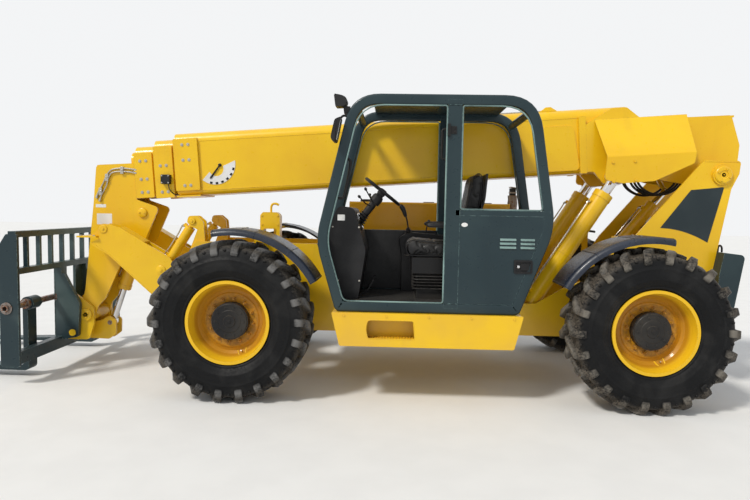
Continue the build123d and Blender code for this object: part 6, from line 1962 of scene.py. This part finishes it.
    def fenders(self, finishes: Finishes) -> None:
        """Moulded fenders with a rounded shoulder, ribs over them and the bolts on their rails.

        A fender is a section (across, radius) turned through an arc: centre + radius * ray. The
        section runs outwards over the top, down round the shoulder, and back inside.
        """
        a = np.radians(np.linspace(0, 90, 9))
        outer = np.vstack(((0.790, 0.8235), (0.960, 0.8240),
            np.stack((1.122 + 0.048 * np.sin(a), 0.776 + 0.048 * np.cos(a)), 1), (1.170, 0.766)))
        inner = np.vstack(((0.790, 0.8025), (0.960, 0.8025),
            np.stack((1.122 + 0.035 * np.sin(a), 0.776 + 0.0265 * np.cos(a)), 1), (1.157, 0.766)))
        n = len(outer)
        section = np.vstack((outer, inner[::-1]))
        strip = np.arange(n - 1)
        cap = np.stack((strip, strip + 1, 2 * n - 2 - strip, 2 * n - 1 - strip), 1)
        guards, ribs, heads = Stock(), Stock(), Stock()
        for x, facing in ((FRONT_AXLE, 1), (REAR_AXLE, -1)):
            centre = spread((x, AXLE_Z - 0.050))
            ends = (78, 151) if facing > 0 else (29, 102)
            turn = np.radians(np.linspace(*ends, 44))
            rail = x - 0.060 * facing
            top = centre[1] + math.sqrt(0.8245 ** 2 - (rail - x) ** 2)
            for side in (-1, 1):
                rows = np.stack((centre[0] + np.cos(turn)[:, None] * section[:, 1],
                    np.broadcast_to(side * section[:, 0], (44, 2 * n)), centre[1] + np.sin(turn)[:,
                    None] * section[:, 1]), -1)
                guards.grid(rows, False, True)
                for row in rows[[0, -1]]:
                    guards.add(row, cap)
                for share in (0.012, 0.36, 0.68, 0.988):
                    b = math.radians(ends[0] + (ends[1] - ends[0]) * share)
                    ribs.tube(np.column_stack((centre[0] + math.cos(b) * outer[:, 1], side * outer[:, 0],
                        centre[1] + math.sin(b) * outer[:, 1])), 0.0042, 8)
                for y in (0.84, 0.93, 1.02):
                    bolts(heads, [(rail, side * y, top - 0.001)], ((rail - x) * 1.2, 0, 1), 0.011, 0.007)
        piece = guards.piece("fender_guards", finishes.fender, Slot.PLASTIC)
        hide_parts("fenders")
        ribs.piece("fender_ribs", finishes.fender, Slot.PLASTIC)
        heads.piece("fender_bolts", finishes.zinc, Slot.BLACK)

    def step(self, finishes: Finishes) -> None:
        """Toothed tread inside the step box, its rubbed sill and the box's bolts."""
        tread = Stock().box((0.205, 1.060, 0.552), (0.610, 1.189, 0.560))
        x = np.linspace(0.225, 0.590, 16)
        for y in (1.085, 1.125, 1.165):
            for place in x:
                tread.turned(mm(((10, -1), (9.5, 6), (6.5, 6), (6, -1), (10, -1))), (place, y, 0.560),
                    (0, 0, 1), 8)
        tread.piece("step_tread", finishes.yellow, Slot.YELLOW)
        back = Stock().slab(mm(((160, 515), (650, 515), (650, 765), (160, 765))), 1.050, 1.060)
        back.piece("step_back", finishes.yellow, Slot.YELLOW)
        lip = Stock()
        outline = rounded(mm(((210, 566, 20), (600, 566, 20), (620, 650, 40), (600, 723, 20),
            (225, 723, 20))), 6)
        lip.tube(upright(outline, 1.1985), 0.0042, 8, closed=True)
        bolts(lip, [(px, 1.200, 0.755) for px in (-0.60, -0.25, 0.10, 0.45, 0.80)], (0, 1, 0), 0.010,
            0.007)
        lip.piece("step_lip", finishes.yellow, Slot.YELLOW)

    def rear(self, finishes: Finishes) -> None:
        """Tail lamps, tow pin, lifting eyes and bolts on the counterweight."""
        back = -2.780
        housings, red, amber, irons = Stock(), Stock(), Stock(), Stock()
        for side in (-1, 1):
            y = side * 0.47
            housings.slab(((y - 0.075, 1.165), (y + 0.075, 1.165), (y + 0.075, 1.245), (y - 0.075, 1.245)),
                back - 0.006, back + 0.030, "x")
            for dy, stock in ((-0.034, red), (0.034, amber)):
                stock.turned(mm(((0, -2), (29, -2), (29, 6), (20, 11), (0, 13))),
                    (back - 0.006, y + side * dy, 1.205), (-1, 0, 0), 24)
            irons.tube(smooth_path(((-2.70, side * 0.30 - 0.035, 1.290), (-2.70, side * 0.30 - 0.030,
                1.335), (-2.70, side * 0.30, 1.352), (-2.70, side * 0.30 + 0.030, 1.335),
                (-2.70, side * 0.30 + 0.035, 1.290)), 5), 0.009, 10)
        irons.slab(pane(back + 0.055, -0.070, back + 0.010, 0.070, 0.01), 0.86, 0.875, "z")
        irons.slab(pane(back + 0.060, -0.070, back + 0.010, 0.070, 0.01), 0.955, 0.970, "z")
        irons.tube(((back + 0.034, 0, 0.83), (back + 0.034, 0, 0.99), (back + 0.034, 0, 1.000)), 0.013, 14)
        irons.turned(((0, 0), (0.022, 0), (0.022, 0.010), (0, 0.012)), (back + 0.034, 0, 0.985), (0, 0, 1),
            20)
        for side in (-1, 1):
            bolts(irons, [(back + 0.0005, side * y, 1.10) for y in (0.14, 0.22)], (-1, 0, 0), 0.020, 0.014)
        housings.piece("tail_lamps", finishes.plastic, Slot.PLASTIC, bevel=0.004)
        red.piece("tail_red", finishes.red, Slot.BLACK)
        amber.piece("tail_amber", finishes.amber, Slot.BLACK)
        irons.piece("weight_irons", finishes.black, Slot.BLACK, bevel=0.001)

    def levelling(self, finishes: Finishes) -> None:
        """Hooked filler pipe and the bolts on the front levelling housing."""
        y, face = 0.325, 0.380
        pipe = Stock().tube(smooth_path(upright(mm(((1595, 1575), (1595, 1640), (1580, 1668), (1548, 1672),
            (1520, 1660))), y), 5), 0.011, 10)
        bolts(pipe, [(x, face, z) for x in (1.520, 1.670) for z in (1.470, 1.555)], (0, 1, 0), 0.009,
            0.007)
        pipe.piece("levelling_fittings", finishes.yellow, Slot.YELLOW)

    def build(self, finishes: Finishes) -> None:
        """Make all of the body's pieces."""
        self.panels(finishes)
        self.pivots(finishes)
        self.valves(finishes)
        self.fenders(finishes)
        self.step(finishes)
        self.rear(finishes)
        self.levelling(finishes)


@dataclass
class EngineSide:
    """Louvres, latches, hinges, caps and the exhaust's trim on the far side."""

    out: float = -1.180

    def louvres(self, finishes: Finishes) -> None:
        """Pressed louvres on the hood's side: a plate with rows of hooded blades."""
        blades = Stock()
        for x0 in (-0.700, -0.330, 0.040, 0.410):
            for k in range(9):
                z = 1.020 + 0.040 * k
                t, x = np.linspace(0, math.pi, 9), np.linspace(0, 1, 12)
                bulge = (1 - (2 * x - 1) ** 8)[:, None]
                rows = np.stack((np.broadcast_to((x0 + 0.270 * x)[:, None], (12, 9)),
                    self.out - 0.013 * np.sin(t / 2)[None] * bulge + 0.002 * (1 - bulge),
                    z + 0.026 - 0.026 * (1 - np.cos(t / 2))[None] * np.ones_like(bulge)), axis=-1)
                start, lid = (edge * (1, 0, 1) + (0, self.out + 0.001, 0) for edge in (rows[:, :1],
                    rows[:, -1:]))
                blades.grid(end_capped(np.concatenate((start, rows, lid), axis=1)), False, True)
        blades.piece("hood_louvres", finishes.yellow, Slot.YELLOW, smooth=50)
        grille = Stock()
        for y in np.linspace(-0.62, -1.02, 11):
            grille.box((0.899, y - 0.006, 0.760), (0.908, y + 0.006, 1.400))
        for z in (0.760, 1.080, 1.388):
            grille.box((0.899, -1.030, z), (0.912, -0.610, z + 0.012))
        grille.piece("hood_grille", finishes.black, Slot.BLACK, bevel=0.0015)

    def fittings(self, finishes: Finishes) -> None:
        """Hinges along the top, paddle latches, a grab handle, a fuel cap and a seam."""
        irons, latches, seam = Stock(), Stock(), Stock()
        for x in (-0.62, 0.02, 0.66):
            irons.tube(((x - 0.06, -0.650, 1.722), (x, -0.650, 1.722), (x + 0.06, -0.650, 1.722)), 0.008,
                10)
            irons.box((x - 0.055, -0.646, 1.718), (x + 0.055, -0.600, 1.723))
            bolts(irons, [(x - 0.03, -0.62, 1.723), (x + 0.03, -0.62, 1.723)], (0, 0, 1), 0.007, 0.005)
        for x in (-0.45, 0.50):
            latches.slab(pane(x - 0.055, 1.400, x + 0.055, 1.465, 0.012, 4), self.out - 0.010,
                self.out + 0.001)
            latches.slab(pane(x - 0.040, 1.412, x + 0.020, 1.453, 0.006), self.out - 0.016,
                self.out - 0.009)
        irons.tube(smooth_path(((-0.12, self.out + 0.002, 0.93), (-0.12, self.out - 0.045, 0.935),
            (-0.08, self.out - 0.052, 0.935), (0.12, self.out - 0.052, 0.935), (0.16, self.out - 0.045,
            0.935), (0.16, self.out + 0.002, 0.93)), 5), 0.009, 10)
        irons.piece("hood_irons", finishes.black, Slot.BLACK)
        latches.piece("hood_latches", finishes.plastic, Slot.PLASTIC, bevel=0.002)
        for x in (-0.845, 0.025, 0.895):
            bead(seam, ((x, self.out - 0.0005, 0.63), (x, self.out - 0.0005, 1.42)), 0.0025, 0.05)
        bead(seam, ((-0.845, self.out - 0.0005, 0.90), (0.895, self.out - 0.0005, 0.90)), 0.0025, 0.05)
        seam.piece("hood_seams", finishes.black, Slot.BLACK)
        cap = Stock().turned(mm(((0, -10), (60, -10), (60, 12), (50, 24), (30, 28), (0, 28))),
            (0.720, -0.560, 1.720), (0, 0, 1), 32)
        for k in range(6):
            a = k * math.pi / 3
            cap.turned(mm(((0, -20), (8, -20), (8, 20), (0, 22))), (0.720 + 0.056 * math.cos(a),
                -0.560 + 0.056 * math.sin(a), 1.720), (0, 0, 1), 8)
        cap.piece("fuel_cap", finishes.plastic, Slot.PLASTIC, smooth=45)

    def pipe(self, finishes: Finishes) -> None:
        """Rain cap with its hinge, an open-sided ribbed heat shield and clamps."""
        x, y = -0.920, -0.700
        a, z = np.radians(np.linspace(-150, 150, 31)), np.linspace(1.28, 1.82, 28)
        ring = spread((-np.cos(a), np.sin(a))).T[None]
        r = (0.052 + 0.0025 * np.cos((z - z[0]) / 0.54 * math.pi * 2 * 6))[:, None, None]
        outer, inner = ((x, y) + ring * (r + extra) for extra in (0.0025, 0.0))
        skin = np.concatenate((outer, inner[:, ::-1]), axis=1)
        skin = np.concatenate((skin, np.broadcast_to(z[:, None, None], (28, 62, 1))), axis=2)
        shield = Stock().grid(skin, False, True)
        strip = np.arange(30)
        for loop in skin[[0, -1]]:
            shield.add(loop, np.stack((strip, strip + 1, 60 - strip, 61 - strip), 1))
        shield.piece("exhaust_shield", finishes.rusty, Slot.BLACK, smooth=50)
        cap = Stock().turned(mm(((0, 0), (47, 0), (49, 6), (30, 12), (0, 14))), (x - 0.004, y, 1.903),
            (-0.12, 0, 1), 28)
        cap.tube(((x - 0.050, y - 0.02, 1.905), (x - 0.050, y, 1.905), (x - 0.050, y + 0.02, 1.905)),
            0.006, 8)
        for z0 in (1.25, 1.85):
            cap.turned(band(0.0375, 0.042, -0.008, 0.008), (x, y, z0), (0, 0, 1), 28)
        cap.piece("rain_cap", finishes.rusty, Slot.BLACK)

    def build(self, finishes: Finishes) -> None:
        """Make all of the engine side's pieces."""
        self.louvres(finishes)
        self.fittings(finishes)
        self.pipe(finishes)


@dataclass
class Carriage:
    """Shaft collars' clamps, slats' welds and the forks' latches."""

    shaft: tuple[float, float] = (3.815, 0.700)

    def build(self, finishes: Finishes) -> None:
        """Make the pieces that ride on the fork carriage."""
        heads, welds = Stock(), Stock()
        x, z = self.shaft
        for side in (-1, 1):
            for edge in (-1, 1):
                y = side * 0.600 + edge * (0.065 + 0.020)
                bolts(heads, [(x + 0.046, y, z)], (1, 0, 0), 0.011, 0.012)
            heads.turned(band(0.0305, 0.054, -0.003, 0.009), (x, side * 0.955, z), (0, side, 0), 28)
            bolts(heads, [(x + 0.042 * math.cos(t), side * 0.9635, z + 0.042 * math.sin(t)) for t in (0.6,
                2.7, 4.8)], (0, side, 0), 0.007, 0.005)
        heads.piece("carriage_bolts", finishes.rusty, Slot.BLACK, "carriage")
        for k in range(9):
            y = (k - 4) * 0.191
            for height in (1.0555, 1.3295):
                for face in (3.7285, 3.7715):
                    bead(welds, ((face, y - 0.015, height), (face, y + 0.015, height)), 0.004)
        for side in (-1, 1):
            inner = side * (0.955 - 0.031)
            for z0 in (0.19, 0.305, 1.0, 1.055, 1.33):
                bead(welds, ((3.722, inner, z0), (3.788, inner, z0)), 0.0045)
            for y in (side * 0.211, side * 0.258):
                bead(welds, ((3.7915, y, 0.31), (3.7915, y, 1.0)), 0.004)
        welds.piece("carriage_welds", finishes.green, Slot.GREEN, "carriage")


@dataclass
class Stabiliser:
    """One stabiliser's pin bosses, welds and the bolts on its foot."""

    side: int

    def build(self, finishes: Finishes) -> None:
        """Make the pieces on the arm and on the foot."""
        name = "left" if self.side > 0 else "right"
        middle = self.side * 0.375
        arm = Stock()
        for face in (-1, 1):
            y = middle + face * 0.075
            for x, z, r in mm(((3190, 1400, 40), (2630, 1014, 46))):
                arm.turned(button(r, -0.003, 0.006, r * 0.86, 0.010), (x, y, z), (0, face, 0), 28)
                bolts(arm, [(x, y + face * 0.010, z)], (0, face, 0), r * 0.32, 0.007)
            outline = spread(mm(((2570, 715), (2735, 800), (3135, 1160), (3300, 1265))))
            bead(arm, np.column_stack((outline[:, 0], np.full(4, y), outline[:, 1])), 0.003, 0.010)
        arm.piece("stabiliser_bosses_" + name, finishes.yellow, Slot.YELLOW, "stabiliser_%s_arm" % name)
        foot = Stock()
        for y in (middle - 0.09, middle + 0.09):
            bolts(foot, [(3.190 + dx, y, 1.332) for dx in (0.085, 0.215)], (0, 0, 1), 0.011, 0.009)
        foot.piece("stabiliser_foot_bolts_" + name, finishes.zinc, Slot.YELLOW,
            "stabiliser_%s_foot" % name)


def main() -> None:
    """Build the machine's looks, piece by piece, around its frame."""
    Datum.find()
    Studio().build()
    finishes = Finishes()
    dress(finishes.yellow, "chassis_frame", "boom_outer", "boom_shrouds", "boom_second", "boom_third",
        "boom_head", "lift_barrels", "slave_barrel", "tilt_barrel", "step_box", "engine_hood")
    dress(finishes.pinned, "coupler")
    dress(finishes.green, "cab_frame", "cab_panels", "counterweight", "fork_left", "fork_right")
    dress(finishes.carriage, "carriage")
    dress(finishes.black, "front_axle", "rear_axle", "cab_floor", "seat_base", "exhaust", "mirrors",
        "engine_block", "front_steer_rod", "rear_steer_rod")
    dress(finishes.fender, "fenders")
    dress(finishes.plastic, "console", "steering_wheel", "seat_pads")
    dress(finishes.chrome, "lift_rods", "slave_rod", "tilt_rod")
    for side in ("left", "right"):
        dress(finishes.yellow, "stabiliser_arm_" + side, "stabiliser_barrel_" + side)
        dress(finishes.pinned, "stabiliser_pad_" + side)
        dress(finishes.chrome, "stabiliser_rod_" + side)
    for corner, x, side in (("front_left", FRONT_AXLE, 1), ("front_right", FRONT_AXLE, -1),
            ("rear_left", REAR_AXLE, 1), ("rear_right", REAR_AXLE, -1)):
        Wheel(corner, x, side).build(finishes)
        dress(finishes.black, "knuckle_" + corner)
    Boom().build(finishes)
    Head().build(finishes)
    lift_tip, slave_tip = (Datum.on_boom(a, 0.0, u)[[0, 2]] for a, u in mm(((922, 44), (270, -60))))
    rams = (Ram("lift_rams", "lift_barrels", (-0.860, 0.680), tuple(lift_tip), 0.085, 1.350,
        (-0.332, 0.332), 60), Ram("slave_ram", "slave_barrel", (-1.620, 1.030), tuple(slave_tip), 0.058,
        0.900), Ram("tilt_ram", "tilt_barrel", (2.930, 1.560), (3.326, 0.417), 0.066, 0.835),
        *(Ram("stabiliser_ram_" + side, "stabiliser_%s_barrel" % side, (2.330, 1.490), (2.630, 1.014),
        0.046, 0.500, (y,)) for side, y in (("left", 0.375), ("right", -0.375))))
    for ram in rams:
        ram.build(finishes)
    Cab().build(finishes)
    Seat().build(finishes)
    Controls().build(finishes)
    Chassis().build(finishes)
    EngineSide().build(finishes)
    Carriage().build(finishes)
    for side in (1, -1):
        Stabiliser(side).build(finishes)


if __name__ == "__main__":
    logging.basicConfig(level=logging.INFO, format="%(message)s")
    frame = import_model()
    main()
